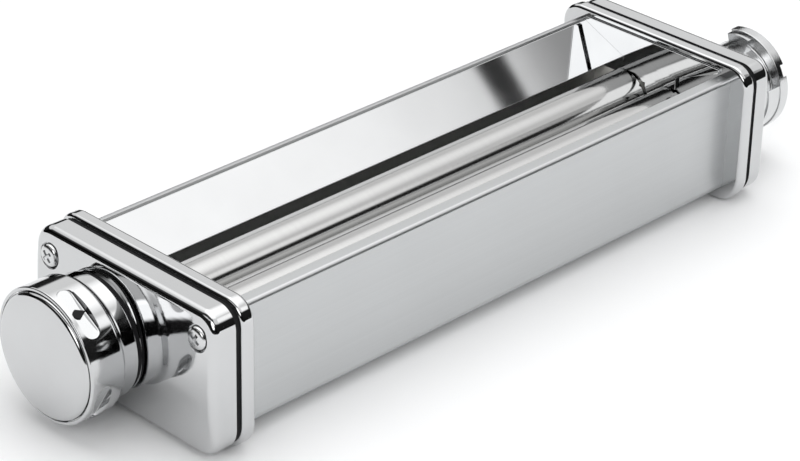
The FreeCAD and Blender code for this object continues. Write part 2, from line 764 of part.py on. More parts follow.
def drive_hub():
    """Twist-lock hub: neck, end flange, stop lug, entry notch and a saddle with a raised end."""
    body = new_body("drive_hub", -s.drive_offset, s.axis_height)
    flange = HUB_END - s.hub_flange
    web = COVER_OUT + s.hub_web
    shaft = s.journal_radius + s.shaft_play
    bevel = s.roller_chamfer
    revolve(body, [
        (COVER_OUT, shaft), (COVER_OUT, s.hub_neck), (flange, s.hub_neck), (flange, s.hub_radius),
        (HUB_END - bevel, s.hub_radius), (HUB_END, s.hub_radius - bevel), (HUB_END, s.hub_bore),
        (web, s.hub_bore), (web, shaft),
    ])
    inner = (s.hub_neck + s.hub_bore) / 2
    outer = s.hub_radius - s.saddle_drop
    sketch = new_sketch(body, "YZ_Plane", COVER_OUT)
    sector(sketch, inner, outer, s.saddle_start, s.saddle_sweep)
    pad(body, sketch, s.hub_reach - s.hub_flange / 2)
    sketch = new_sketch(body, "YZ_Plane", HUB_END - s.hub_collar)
    sector(sketch, inner, s.hub_radius - s.saddle_drop / 2, s.saddle_start, s.saddle_sweep)
    pad(body, sketch, s.hub_collar - s.hub_flange)
    sketch = new_sketch(body, "YZ_Plane", flange - s.lug_length)
    sector(sketch, inner, outer, s.lug_start, s.lug_sweep)
    pad(body, sketch, s.lug_length + s.hub_flange / 2)
    sketch = new_sketch(body, "YZ_Plane", HUB_END - s.notch_depth)
    half = s.notch_width / 2
    run = (cosine(s.notch_angle), sine(s.notch_angle))
    outline(sketch, [
        (radius * run[0] - edge * run[1], radius * run[1] + edge * run[0])
        for radius, edge in ((s.hub_neck, -half), (s.hub_radius + half, -half),
                             (s.hub_radius + half, half), (s.hub_neck, half))
    ])
    pocket(body, sketch, s.notch_depth)
    sketch = new_sketch(body, "YZ_Plane", COVER_OUT)
    for across, up in hub_screw_places():
        circle(sketch, across, up, s.bolt_radius + s.screw_play)
    pocket(body, sketch, s.bolt_grip)
    return keep(body)


def hub_screws():
    tip = COVER_OUT + s.bolt_grip - s.screw_play
    members = []
    for index, (across, up) in enumerate(hub_screw_places()):
        body = new_body(f"hub_screw_{index}", across - s.drive_offset, up + s.axis_height)
        seat = COVER_FLOOR
        revolve(body, [
            (seat - s.bolt_head_height, 0), (seat - s.bolt_head_height, s.bolt_head), (seat, s.bolt_head),
            (seat, s.bolt_radius), (tip, s.bolt_radius), (tip, 0),
        ])
        members.append(body)
    group("hub_screws", members)


# Rollers, gears and carriage

def roller(label, y, left_end, right_end):
    """Polished barrel with a journal at each end."""
    body = new_body(label, y, s.axis_height)
    bevel = s.roller_chamfer
    radius = s.roller_radius
    journal = s.journal_radius
    revolve(body, [
        (left_end, 0), (left_end, journal), (-BARREL_END, journal), (-BARREL_END, radius - bevel),
        (bevel - BARREL_END, radius), (BARREL_END - bevel, radius), (BARREL_END, radius - bevel),
        (BARREL_END, journal), (right_end, journal), (right_end, 0),
    ])
    return keep(body)


def gear(label, y, phase):
    """Spur gear with long teeth that stay in mesh over the whole gap travel."""
    body = new_body(label, y, s.axis_height, phase)
    closest = s.drive_offset + s.idle_offset - s.gap_travel
    root = closest - s.gear_tip - s.gear_clearance
    sketch, width = x_sketch(body, RIGHT, GEAR_NEAR, GEAR_FAR)
    circle(sketch, 0, 0, root)
    pad(body, sketch, width)
    sketch, width = x_sketch(body, RIGHT, GEAR_NEAR, GEAR_FAR)
    sunk = root - s.tooth_root / 2
    outline(sketch, [
        (sunk, -s.tooth_root / 2), (root, -s.tooth_root / 2), (s.gear_tip, -s.tooth_tip / 2),
        (s.gear_tip, s.tooth_tip / 2), (root, s.tooth_root / 2), (sunk, s.tooth_root / 2),
    ])
    tooth = pad(body, sketch, width)
    repeat_round(body, tooth, s.gear_teeth)
    sketch, width = x_sketch(body, RIGHT, GEAR_NEAR, GEAR_FAR)
    circle(sketch, 0, 0, s.journal_radius + s.seat_gap)
    pocket(body, sketch, width)
    return keep(body)


def clip(label, y):
    """Retaining ring that holds a gear on its journal."""
    body = new_body(label, y, s.axis_height)
    bore = s.journal_radius + s.seat_gap
    end = GEAR_FAR + s.clip_thick
    revolve(body, [(GEAR_FAR, bore), (GEAR_FAR, s.clip_radius), (end, s.clip_radius), (end, bore)])
    return keep(body)


def drive_tang():
    """Square male driver on the drive roller's shaft, inside the hub."""
    body = new_body("drive_tang", -s.drive_offset, s.axis_height)
    start = COVER_OUT + s.tang_start
    half = s.tang_width / 2
    cut = half - s.tang_edge
    sketch = new_sketch(body, "YZ_Plane", start)
    outline(sketch, [
        (half, -cut), (half, cut), (cut, half), (-cut, half), (-half, cut), (-half, -cut), (-cut, -half), (cut, -half),
    ])
    pad(body, sketch, s.tang_length)
    round_edges(body, on_plane_x(start + s.tang_length), s.tang_edge, "Chamfer")
    sketch = new_sketch(body, "YZ_Plane", start)
    circle(sketch, 0, 0, s.journal_radius + s.seat_gap)
    pocket(body, sketch, s.tang_bore)
    return keep(body)


def bearing_block(label, side):
    """Sliding bearing of the idle roller; the left one also holds the follower pin."""
    body = new_body(label, s.idle_offset, s.axis_height)
    sketch, thick = x_sketch(body, side, HALF_SPAN, FRAME_OUT)
    half = s.block_height / 2
    rectangle(sketch, -s.block_front, s.block_rear, -half, half)
    pad(body, sketch, thick)
    sketch, thick = x_sketch(body, side, HALF_SPAN, FRAME_OUT)
    circle(sketch, 0, 0, s.journal_radius + s.running_gap)
    circle(sketch, s.bar_offset, 0, s.bolt_radius + s.screw_play)
    pocket(body, sketch, thick)
    sketch, depth = x_sketch(body, side, FRAME_OUT - s.bolt_head_height - s.screw_play, FRAME_OUT)
    circle(sketch, s.bar_offset, 0, s.bolt_head + s.screw_play)
    pocket(body, sketch, depth)
    if side == LEFT:
        sketch, depth = x_sketch(body, side, FRAME_OUT - s.pin_seat, FRAME_OUT)
        circle(sketch, s.knob_offset + s.cam_track - s.idle_offset, 0, s.pin_radius + s.seat_gap)
        pocket(body, sketch, depth)
    return keep(body)


def carriage_bar():
    """Flat bar that ties the two bearing blocks, so that the roller stays parallel."""
    body = new_body("carriage_bar", s.idle_offset + s.bar_offset, s.axis_height)
    sketch = new_sketch(body, "YZ_Plane", -HALF_SPAN)
    rectangle(sketch, -s.bar_thick / 2, s.bar_thick / 2, -s.bar_height / 2, s.bar_height / 2)
    pad(body, sketch, s.span)
    for side in (LEFT, RIGHT):
        sketch, depth = x_sketch(body, side, HALF_SPAN - s.bolt_grip, HALF_SPAN)
        circle(sketch, 0, 0, s.bolt_radius + s.screw_play)
        pocket(body, sketch, depth)
    return keep(body)


def carriage_screws():
    tip = HALF_SPAN - s.bolt_grip + s.screw_play
    seat = FRAME_OUT - s.bolt_head_height - s.screw_play
    members = []
    for side, label in ((LEFT, "carriage_screw_left"), (RIGHT, "carriage_screw_right")):
        body = new_body(label, s.idle_offset + s.bar_offset, s.axis_height)
        end = seat + s.bolt_head_height
        revolve(body, sided(side, [
            (tip, 0), (tip, s.bolt_radius), (seat, s.bolt_radius), (seat, s.bolt_head), (end, s.bolt_head), (end, 0),
        ]))
        members.append(body)
    group("carriage_screws", members)


def rear_scraper():
    """Strip under the carriage bar that follows the idle roller."""
    body = new_body("rear_scraper", s.idle_offset, s.axis_height)
    sketch = new_sketch(body, "YZ_Plane", s.end_gap - HALF_SPAN)
    ceiling = -s.bar_height / 2
    back = s.bar_offset + s.bar_thick / 2
    front = s.bar_offset - s.bar_thick / 2
    reach = (s.roller_radius + s.scraper_gap) * math.cos(math.radians(45))
    tip = reach + s.sheet / 2
    outline(sketch, [
        (back, ceiling), (back, ceiling - s.sheet), (front, ceiling - s.sheet),
        (tip, -reach - s.sheet), (tip, -reach), (front, ceiling),
    ])
    pad(body, sketch, s.span - 2 * s.end_gap)
    return keep(body)


# Thickness adjuster

def follower_pin():
    body = new_body("follower_pin", s.knob_offset + s.cam_track, s.axis_height)
    sketch, length = x_sketch(body, LEFT, FRAME_OUT - s.pin_seat, CAM_NEAR + s.track_depth - s.end_gap)
    circle(sketch, 0, 0, s.pin_radius)
    pad(body, sketch, length)
    return keep(body)


def adjuster_cam():
    """Disc with a spiral track: the follower pin moves by the same amount for each degree of turn."""
    body = new_body("adjuster_cam", s.knob_offset, s.axis_height)
    sketch, thick = x_sketch(body, LEFT, CAM_NEAR, CAM_FAR)
    circle(sketch, 0, 0, s.cam_radius)
    circle(sketch, 0, 0, s.shaft_tail + s.seat_gap)
    pad(body, sketch, thick)
    steps = 8
    half_width = s.pin_radius + s.track_play
    overrun = half_width / (s.cam_track - s.gap_travel) * (180 / math.pi)
    turn = s.knob_turn + 2 * overrun
    rate = s.gap_travel / (s.knob_turn / 2)

    def wall(share, offset):
        angle = turn * (share - 0.5)
        radius = s.cam_track - rate * angle + offset
        return radius, (radius * cosine(angle), radius * sine(angle))

    corners = []
    for index in range(steps):
        middle = wall((index + 0.5) / steps, half_width)[0]
        corners.append((*wall(index / steps, half_width)[1], (1, middle)))
    corners.append(wall(1, half_width)[1])
    for index in range(steps, 0, -1):
        middle = wall((index - 0.5) / steps, -half_width)[0]
        corners.append((*wall(index / steps, -half_width)[1], (-1, middle)))
    corners.append(wall(0, -half_width)[1])
    sketch, depth = x_sketch(body, LEFT, CAM_NEAR, CAM_NEAR + s.track_depth)
    outline(sketch, corners)
    pocket(body, sketch, depth)
    return keep(body)


def hexagon(sketch, radius):
    outline(sketch, [(radius * math.cos(math.radians(60 * index)), radius * math.sin(math.radians(60 * index)))
                     for index in range(6)])


def shaft_end():
    """Where the adjuster shaft ends inside the knob: behind the retainer."""
    return KNOB_BACK + s.knob_web + s.spring_room


def adjuster_shaft():
    """Shaft from the cam through the bush, with a hexagon that drives the knob."""
    body = new_body("adjuster_shaft", s.knob_offset, s.axis_height)
    revolve(body, sided(LEFT, [
        (CAM_NEAR, 0), (CAM_NEAR, s.shaft_tail), (CAM_FAR, s.shaft_tail), (CAM_FAR, s.shaft_radius),
        (BOSS_OUT, s.shaft_radius), (BOSS_OUT, 0),
    ]))
    sketch, length = x_sketch(body, LEFT, BOSS_OUT, shaft_end())
    hexagon(sketch, s.hex_radius)
    pad(body, sketch, length)
    sketch, depth = x_sketch(body, LEFT, shaft_end() - s.bolt_grip, shaft_end())
    circle(sketch, 0, 0, SCREW_HOLE)
    pocket(body, sketch, depth)
    return keep(body)


def knob_retainer():
    """Washer-head screw in the shaft's end, which the knob spring pushes against."""
    body = new_body("knob_retainer", s.knob_offset, s.axis_height)
    seat = shaft_end()
    end = seat + s.retainer_thick
    tip = seat - s.bolt_grip + s.screw_play
    revolve(body, sided(LEFT, [
        (tip, 0), (tip, s.screw_radius), (seat, s.screw_radius), (seat, s.retainer_radius),
        (end, s.retainer_radius), (end, 0),
    ]))
    return keep(body)


def knob():
    """Pull-and-turn knob: neck, hollow cove, head with finger flats, and a rim round the cap."""
    body = new_body("knob", s.knob_offset, s.axis_height, s.dimple_tilt)
    neck_end = KNOB_BACK + s.neck_length
    step = s.head_radius_knob - s.neck_radius
    cap_floor = KNOB_RIM - s.cap_seat
    cap_bore = s.head_radius_knob - s.rim_width
    web = KNOB_BACK + s.knob_web
    bore = s.hex_radius + s.hex_play
    revolve(body, sided(LEFT, [
        (KNOB_BACK, bore), (KNOB_BACK, s.neck_radius), (neck_end, s.neck_radius),
        (neck_end + step, s.head_radius_knob), (KNOB_RIM - s.rim_round, s.head_radius_knob, (1, s.rim_round)),
        (KNOB_RIM, s.head_radius_knob - s.rim_round), (KNOB_RIM, cap_bore), (cap_floor, cap_bore),
        (cap_floor, s.knob_cavity), (web, s.knob_cavity), (web, bore),
    ]))
    round_edges(body, ring_edge(-neck_end, s.neck_radius), s.cove)
    round_edges(body, ring_edge(-(neck_end + step), s.head_radius_knob), s.cove)
    sketch = new_sketch(body, "XY_Plane", s.dimple_floor)
    half = s.dimple_length / 2
    end = s.dimple_width / 2
    middle = s.dimple_centre - KNOB_RIM
    outline(sketch, [
        (middle + end, end - half), (middle + end, half - end, (1, end * 1.001)),
        (middle - end, half - end), (middle - end, end - half, (1, end * 1.001)),
    ])
    flat = pocket(body, sketch, s.head_radius_knob)
    repeat_round(body, flat, s.dimple_count)
    return keep(body)


def ring_edge(place, radius):
    """A test for the circular edge of that radius at X = place."""
    def lies(edge):
        box = edge.BoundBox
        flat = max(abs(box.XMin - place.number), abs(box.XMax - place.number)) < 1e-4
        return flat and abs(box.YMax - box.YMin - 2 * radius.number) < 1e-3
    return lies


def knob_cap():
    """Domed cap in the knob's rim, with a fine dark line round it."""
    body = new_body("knob_cap", s.knob_offset, s.axis_height)
    floor = KNOB_RIM - s.cap_seat
    radius = s.head_radius_knob - s.rim_width - s.cap_gap
    side = KNOB_RIM - s.cap_sink
    meet = radius - s.cap_edge + s.cap_edge * sine(s.cap_slope)
    dome = meet / sine(s.cap_slope)
    top = side + s.cap_edge * cosine(s.cap_slope)
    revolve(body, sided(LEFT, [
        (floor, 0), (floor, radius), (side, radius, (1, s.cap_edge)), (top, meet, (1, dome)),
        (top + dome * (1 - cosine(s.cap_slope)), 0),
    ]))
    return keep(body)


def knob_mark():
    """Dark drop-shaped index mark on the first finger flat."""
    body = new_body("knob_mark", s.knob_offset, s.axis_height, s.dimple_tilt)
    sketch = new_sketch(body, "XY_Plane", s.dimple_floor)
    middle = s.dimple_centre - KNOB_RIM
    radius = s.mark_radius
    outline(sketch, [
        (middle, radius, (1, radius * 1.001)), (middle, -radius), (middle + s.mark_point, 0),
    ])
    pad(body, sketch, s.mark_thick)
    return keep(body)


def build():
    for side, name in ((LEFT, "left"), (RIGHT, "right")):
        end_frame(f"{name}_end_frame", side)
        gasket(f"{name}_gasket", side)
        cover(f"{name}_cover", side)
        cheek(f"{name}_cheek", side)
        cover_screws(f"{name}_cover_screws", side)
        drive_bush(f"{name}_drive_bush", side)
        bearing_block(f"{name}_bearing_block", side)
    for face, name, top, hem in ((FRONT, "front", s.front_top, s.front_hem), (REAR, "rear", s.rear_top, s.rear_hem)):
        panel(f"{name}_panel", face, top, hem)
        guide(f"{name}_guide", face, top, hem)
    front_scraper()
    tie_rods()
    tie_rod_screws()
    knob_bush()
    knob_seal()
    drive_hub()
    hub_screws()
    roller("drive_roller", -s.drive_offset, -FRAME_OUT, COVER_OUT + s.tang_start + s.tang_bore - s.end_gap)
    gear("drive_gear", -s.drive_offset, None)
    clip("drive_clip", -s.drive_offset)
    drive_tang()
    roller("idle_roller", s.idle_offset, -FRAME_OUT, GEAR_FAR + s.clip_thick)
    gear("idle_gear", s.idle_offset, 180 / s.gear_teeth)
    clip("idle_clip", s.idle_offset)
    carriage_bar()
    carriage_screws()
    rear_scraper()
    follower_pin()
    adjuster_cam()
    adjuster_shaft()
    knob_retainer()
    knob()
    knob_cap()
    knob_mark()


def write():
    """Check every object, then write one file for each sub-part."""
    doc.recompute()
    for thing in doc.Objects:
        if {"Invalid", "Error"} & set(thing.State):
            raise RuntimeError(f"{thing.Label} failed: {thing.State}")
    for thing in parts:
        if thing.Shape.isNull() or not thing.Shape.isValid():
            raise RuntimeError(f"{thing.Label} has no valid shape")
    os.makedirs("parts", exist_ok=True)
    for thing in parts:
        thing.Shape.exportStep(f"parts/{thing.Label}.step")
        print(f"{thing.Label}: {len(thing.Shape.Solids)} solid, {thing.Shape.Volume:.1f} mm3")


build()
write()
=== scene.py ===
"""Looks of a mixer-driven dough sheet roller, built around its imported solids."""

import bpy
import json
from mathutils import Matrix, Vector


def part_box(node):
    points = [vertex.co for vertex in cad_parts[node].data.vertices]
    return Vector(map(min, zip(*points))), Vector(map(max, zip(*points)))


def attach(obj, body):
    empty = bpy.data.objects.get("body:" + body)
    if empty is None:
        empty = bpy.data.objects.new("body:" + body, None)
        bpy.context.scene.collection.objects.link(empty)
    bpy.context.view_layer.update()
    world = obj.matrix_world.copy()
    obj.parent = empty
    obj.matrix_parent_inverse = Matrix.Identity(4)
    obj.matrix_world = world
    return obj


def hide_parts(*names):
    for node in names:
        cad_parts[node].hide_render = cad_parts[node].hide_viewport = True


bl_info = {
    "name": "Dough Sheet Roller",
    "version": (1, 0, 0),
    "blender": (4, 5, 0),
    "location": "View3D > Sidebar > Sheet Roller",
    "description": "Dresses the packed sheet roller in polished steel "
                   "and lights it in a small studio",
    "category": "Object",
}

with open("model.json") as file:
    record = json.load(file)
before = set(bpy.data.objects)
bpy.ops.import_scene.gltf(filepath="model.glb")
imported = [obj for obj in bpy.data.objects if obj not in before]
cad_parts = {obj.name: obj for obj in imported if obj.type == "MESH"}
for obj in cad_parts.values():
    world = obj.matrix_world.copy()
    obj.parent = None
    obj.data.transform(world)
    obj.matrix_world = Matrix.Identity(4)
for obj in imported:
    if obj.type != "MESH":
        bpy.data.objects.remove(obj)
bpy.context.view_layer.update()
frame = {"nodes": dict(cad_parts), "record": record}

import json
import math

import bmesh
import bpy
from bpy.props import FloatProperty, FloatVectorProperty, IntProperty, PointerProperty
from mathutils import Matrix, Vector

MM = 0.001
SIDES = {"left": -1, "right": 1}
HALF_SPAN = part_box("front_panel")[1].x
FRAME_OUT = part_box("right_end_frame")[1].x
COVER_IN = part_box("right_gasket")[1].x
COVER_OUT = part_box("right_cover")[1].x
BOSS_OUT = -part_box("left_cover")[0].x
CROWN = 1.5 * MM  # rise of the left cover's face
SHEET = 0.8 * MM  # thickness of the folded sheet
SEAT_DEPTH = 0.8 * MM  # of the screw seats in the right cover
FOOT_ROUND = 8.0 * MM  # lower corners of the end frames
TOP_ROUND = 6.0 * MM  # upper corners of the end frames

# Points nearer than these are one point
POINT = 1e-7
WELD = 1e-6
CUT_WELD = 2e-6


def middle(node):
    low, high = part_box(node)
    return (low + high) / 2


DRIVE_AXIS = middle("drive_roller")
IDLE_AXIS = middle("idle_roller")
KNOB_AXIS = middle("knob_seal")


# Settings

def number(name, description, value, **limits):
    return FloatProperty(name=name, description=description, default=value, **limits)


def length(name, description, value):
    return number(name, description, value, unit="LENGTH", precision=5)


def share(name, description, value):
    return number(name, description, value, min=0.0, max=1.0, subtype="FACTOR")


def degrees(name, description, value):
    return number(name, description, math.radians(value), subtype="ANGLE")


def colour(name, description, value):
    return FloatVectorProperty(name=name, description=description, default=value,
                               min=0.0, max=1.0, size=3, subtype="COLOR")


class FinishSettings(bpy.types.PropertyGroup):
    """Colours and gloss of the metals and the dark parts."""

    steel: colour("Polished steel", "Tint of all polished sheet and the knob", (0.60, 0.605, 0.61))
    satin: colour("Satin steel", "Tint of the front and rear panels", (0.56, 0.57, 0.575))
    hub: colour("Hub steel", "Tint of the hub, the screws and the shafts", (0.66, 0.665, 0.67))
    roller: colour("Roller steel", "Tint of the two rollers", (0.48, 0.48, 0.476))
    # The near black of this tint also paints the shadow in the seams between the end frames and
    # covers.
    rubber: colour("Rubber", "Tint of the gaskets and the knob's ring", (0.012, 0.012, 0.013))
    steel_gloss: share("Polished roughness", "Roughness of the polished steel", 0.045)
    mirror_gloss: share("Mirror roughness", "Roughness of the dough guides and cheeks", 0.02)
    satin_gloss: share("Satin roughness", "Roughness of the panels", 0.33)
    roller_gloss: share("Roller roughness", "Roughness of the rollers", 0.12)
    hub_gloss: share("Hub roughness", "Roughness of the drive hub", 0.15)


class SizeSettings(bpy.types.PropertyGroup):
    """Fine sizes that the solids leave out."""

    edge: length("Edge break", "Rounding of machined edges", 0.25 * MM)
    sheet_edge: length("Sheet edge", "Rounding of cut sheet edges", 0.15 * MM)
    screw_crown: number("Screw crown", "Power that squares the crown of a screw head", 0.55,
                        min=0.2, max=1.0)
    turned: IntProperty(name="Turned segments", description="Segments round a turned piece",
                        default=160, min=24)


class StudioSettings(bpy.types.PropertyGroup):
    """Camera and light."""

    eye: FloatVectorProperty(name="Camera", description="Place of the camera", size=3,
                             subtype="TRANSLATION", unit="LENGTH",
                             default=(-0.4668, -0.4479, 0.3650))
    azimuth: degrees("Azimuth", "Turn of the camera round the object", -45.654)
    elevation: degrees("Elevation", "Height of the camera above the horizon", 28.577)
    roll: degrees("Roll", "Roll of the camera", 1.289)
    lens: number("Lens", "Focal length on a 36 mm sensor", 129.195, subtype="DISTANCE_CAMERA")
    floor: colour("Floor", "Tint of the studio floor", (0.93, 0.935, 0.94))
    sky: number("Sky", "Brightness of the mirrored studio", 1.0, min=0.0)
    key: number("Key light", "Power of the soft light in front", 4.6, min=0.0, unit="POWER")
    fill: number("Fill light", "Power of the soft light at the left", 2.3, min=0.0, unit="POWER")


# Shader sums

class Wire:
    """A value socket in a node tree. Sums on it add Math nodes."""

    def __init__(self, graph, socket):
        self.graph = graph
        self.socket = socket

    def math(self, operation, first, second=0.0):
        node = self.graph.node("ShaderNodeMath", {"operation": operation}, {0: first, 1: second})
        return Wire(self.graph, node.outputs[0])

    def __add__(self, other):
        return self.math("ADD", self, other)

    def __sub__(self, other):
        return self.math("SUBTRACT", self, other)

    def __rsub__(self, other):
        return self.math("SUBTRACT", other, self)

    def __mul__(self, other):
        return self.math("MULTIPLY", self, other)

    def __pow__(self, other):
        return self.math("POWER", self, other)

    __radd__ = __add__

    def sine(self):
        return self.math("SINE", self)

    def cosine(self):
        return self.math("COSINE", self)


class Graph:
    """A node tree that is filled node by node."""

    def __init__(self, tree):
        self.tree = tree

    def node(self, kind, settings=None, sockets=None):
        """Add a node: its settings first, then the values or links of its sockets."""
        made = self.tree.nodes.new(kind)
        for key, value in (settings or {}).items():
            if key == "stops":
                self.fill_ramp(made.color_ramp, value)
            else:
                setattr(made, key, value)
        for key, value in (sockets or {}).items():
            for item in value if isinstance(value, list) else [value]:
                self.feed(made.inputs[key], item)
        return made

    def feed(self, socket, value):
        if isinstance(value, Wire):
            value = value.socket
        if isinstance(value, bpy.types.NodeSocket):
            self.tree.links.new(value, socket)
        else:
            socket.default_value = value

    @staticmethod
    def fill_ramp(ramp, stops):
        while len(ramp.elements) < len(stops):
            ramp.elements.new(0.5)
        for element, (place, tone) in zip(ramp.elements, stops):
            element.position = place
            element.color = (tone, tone, tone, 1.0)

    def wire(self, kind, settings=None, sockets=None, output=0):
        return Wire(self, self.node(kind, settings, sockets).outputs[output])

    def ramp(self, value, stops):
        return self.wire("ShaderNodeValToRGB", {"stops": stops}, {"Fac": value})


class Finish(Graph):
    """One procedural material round a principled shader."""

    def __init__(self, name, **constants):
        self.material = bpy.data.materials.new(name)
        self.material.use_nodes = True
        super().__init__(self.material.node_tree)
        self.tree.nodes.clear()
        self.shader = self.node("ShaderNodeBsdfPrincipled", None, constants)
        self.node("ShaderNodeOutputMaterial", None, {"Surface": self.shader.outputs[0]})
        self.place = self.node("ShaderNodeTexCoord").outputs["Object"]

    def noise(self, scale, detail, stretch=None):
        """Noise over the object's own coordinates; stretch scales its three axes."""
        place = self.place
        if stretch is not None:
            mapping = self.node("ShaderNodeMapping", None, {"Vector": place, "Scale": stretch})
            place = mapping.outputs[0]
        return self.wire("ShaderNodeTexNoise", None, {
            "Vector": place, "Scale": scale, "Detail": detail})

    def blend(self, factor, first, second):
        mix = self.node("ShaderNodeMix", {"data_type": "RGBA"}, {0: factor, 6: first, 7: second})
        return mix.outputs[2]

    def bump(self, height, strength, distance):
        bump = self.node("ShaderNodeBump", None, {
            "Strength": strength, "Distance": distance, "Height": height})
        return bump.outputs[0]

    def surface(self, **sockets):
        """Feed the shader's sockets, named with underscores for spaces."""
        for name, value in sockets.items():
            self.feed(self.shader.inputs[name.replace("_", " ")], value)
        return self.material


def tint(value, level=1.0):
    return (value[0] * level, value[1] * level, value[2] * level, 1.0)


def polished(name, base, gloss, haze=0.05):
    """Mirror-polished steel: faint hand smears in its gloss and a slow wave in the sheet."""
    finish = Finish(name, Metallic=1.0)
    smear = finish.ramp(finish.noise(scale=46.0, detail=5.0), [(0.42, 0.0), (0.72, 1.0)])
    speck = finish.noise(scale=2600.0, detail=2.0)
    slow = finish.noise(scale=17.0, detail=1.0)
    smear_share = 0.6
    speck_haze = 0.012
    return finish.surface(
        Base_Color=finish.blend(smear * smear_share, tint(base), tint(base, level=0.93)),
        Roughness=gloss + smear * haze + speck * speck_haze,
        Normal=finish.bump(slow, strength=0.015, distance=0.002),
    )


def grained(name, base, gloss, stretch, depth, spread):
    """Steel with a fine directional grain."""
    finish = Finish(name, Metallic=1.0)
    grain = finish.noise(scale=1.0, detail=4.0, stretch=stretch)
    cloud = finish.noise(scale=30.0, detail=4.0)
    shadow = grain * 0.5 + cloud * 0.3
    cloud_spread = 0.06
    return finish.surface(
        Base_Color=finish.blend(shadow, tint(base, level=1.03), tint(base, level=0.9)),
        Roughness=gloss + grain * spread + cloud * cloud_spread - (spread + cloud_spread) / 2,
        Normal=finish.bump(grain, strength=depth, distance=0.0001),
    )


def blasted(name, base, gloss):
    """Steel with a fine gritty skin that is duller in patches."""
    finish = Finish(name, Metallic=1.0)
    grit = finish.noise(scale=5200.0, detail=2.0)
    cloud = finish.noise(scale=70.0, detail=4.0)
    grit_spread = 0.12
    cloud_spread = 0.06
    middle_spread = (grit_spread + cloud_spread) / 2
    return finish.surface(
        Base_Color=finish.blend(cloud, tint(base, level=1.06), tint(base, level=0.9)),
        Roughness=gloss + grit * grit_spread + cloud * cloud_spread - middle_spread,
        Normal=finish.bump(grit, strength=0.12, distance=0.0001),
    )


def matt(name, base, gloss, grit_size, depth):
    """Rubber or plastic with a fine moulded skin."""
    finish = Finish(name, Metallic=0.0)
    finish.shader.inputs["Specular IOR Level"].default_value = 0.12
    grit = finish.noise(scale=grit_size, detail=3.0)
    cloud = finish.noise(scale=90.0, detail=4.0)
    spread = 0.12
    return finish.surface(
        Base_Color=finish.blend(cloud, tint(base, level=0.8), tint(base, level=1.15)),
        Roughness=gloss + grit * spread - spread / 2,
        Normal=finish.bump(grit, strength=depth, distance=0.0002),
    )


# Grain: how fine it is along X, Y and Z
DRAWN = (5.0, 900.0, 2600.0)
GROUND = (2400.0, 60.0, 60.0)
TURNED = (1800.0, 90.0, 90.0)
BORED = (1500.0, 80.0, 80.0)
EVEN = (900.0, 900.0, 900.0)

# Tints of the pieces inside
BRONZE = (0.62, 0.43, 0.2)
BEARING_NYLON = (0.78, 0.77, 0.73)
SCRAPER_NYLON = (0.82, 0.82, 0.8)


def material(name):
    """The finish of one material slot, made once."""
    title = f"roller_{name}"
    if title in bpy.data.materials:
        return bpy.data.materials[title]
    look = bpy.context.scene.roller_finish
    # A recipe is a maker, a tint and a roughness, and then what that maker asks for
    recipes = {
        "polished_steel": (polished, look.steel, look.steel_gloss),
        "mirror_steel": (polished, look.steel, look.mirror_gloss, 0.015),
        "hub_steel": (blasted, look.hub, look.hub_gloss),
        "satin_steel": (grained, look.satin, look.satin_gloss, DRAWN, 0.04, 0.08),
        "roller_steel": (grained, look.roller, look.roller_gloss, GROUND, 0.02, 0.05),
        "fastener_steel": (grained, look.hub, 0.2, EVEN, 0.05, 0.12),
        "machined_steel": (grained, look.hub, 0.32, TURNED, 0.08, 0.14),
        "bearing_bronze": (grained, BRONZE, 0.3, BORED, 0.08, 0.12),
        # Near-black rubber for the gaskets and the knob's ring; on the gaskets its dark also paints
        # the shadow in the seam.
        "black_rubber": (matt, look.rubber, 0.55, 3200.0, 0.2),
        "black_mark": (matt, look.rubber, 0.4, 2400.0, 0.1),
        "bearing_nylon": (matt, BEARING_NYLON, 0.5, 1800.0, 0.08),
        "scraper_nylon": (matt, SCRAPER_NYLON, 0.45, 1800.0, 0.08),
    }
    maker, *values = recipes[name]
    return maker(title, *values)


# Mesh tools

def from_bmesh(name, shape):
    bmesh.ops.recalc_face_normals(shape, faces=shape.faces)
    mesh = bpy.data.meshes.new(name)
    shape.to_mesh(mesh)
    shape.free()
    made = bpy.data.objects.new(name, mesh)
    bpy.context.scene.collection.objects.link(made)
    return made


def soften(corners, steps=6):
    """Round the corners of a closed outline. A corner is (a, b), or (a, b, radius)."""
    rounded = []
    for index, corner in enumerate(corners):
        spot = Vector(corner[:2])
        if len(corner) == 2:
            rounded.append(spot)
            continue
        radius = corner[2]
        back = (Vector(corners[index - 1][:2]) - spot).normalized()
        ahead = (Vector(corners[(index + 1) % len(corners)][:2]) - spot).normalized()
        half = back.angle(ahead) / 2
        centre = spot + (back + ahead).normalized() * (radius / math.sin(half))
        first = spot + back * (radius / math.tan(half)) - centre
        last = spot + ahead * (radius / math.tan(half)) - centre
        sweep = math.atan2(first.x * last.y - first.y * last.x, first.dot(last))
        for step in range(steps + 1):
            turn = Matrix.Rotation(sweep * step / steps, 2)
            rounded.append(centre + turn @ first)
    return rounded


def around(axis, radius, angle):
    """The (y, z) point at an angle about the line along X through axis."""
    return axis.y + radius * math.cos(angle), axis.z + radius * math.sin(angle)


def turned(name, axis, profile, segments=None):
    """A turned piece: a closed profile of (x, radius) spun about the line along X through axis."""
    segments = segments or bpy.context.scene.roller_sizes.turned
    shape = bmesh.new()
    rings = []
    for x, radius in profile:
        if radius < POINT:
            rings.append([shape.verts.new((x, axis.y, axis.z))])
            continue
        rings.append([
            shape.verts.new((x, *around(axis, radius, 2 * math.pi * index / segments)))
            for index in range(segments)
        ])
    for first, second in zip(rings, rings[1:] + rings[:1]):
        for index in range(segments):
            following = (index + 1) % segments
            corners = [first[index % len(first)], first[following % len(first)],
                       second[following % len(second)], second[index % len(second)]]
            corners = list(dict.fromkeys(corners))
            if len(corners) > 2:
                shape.faces.new(corners)
    return from_bmesh(name, shape)


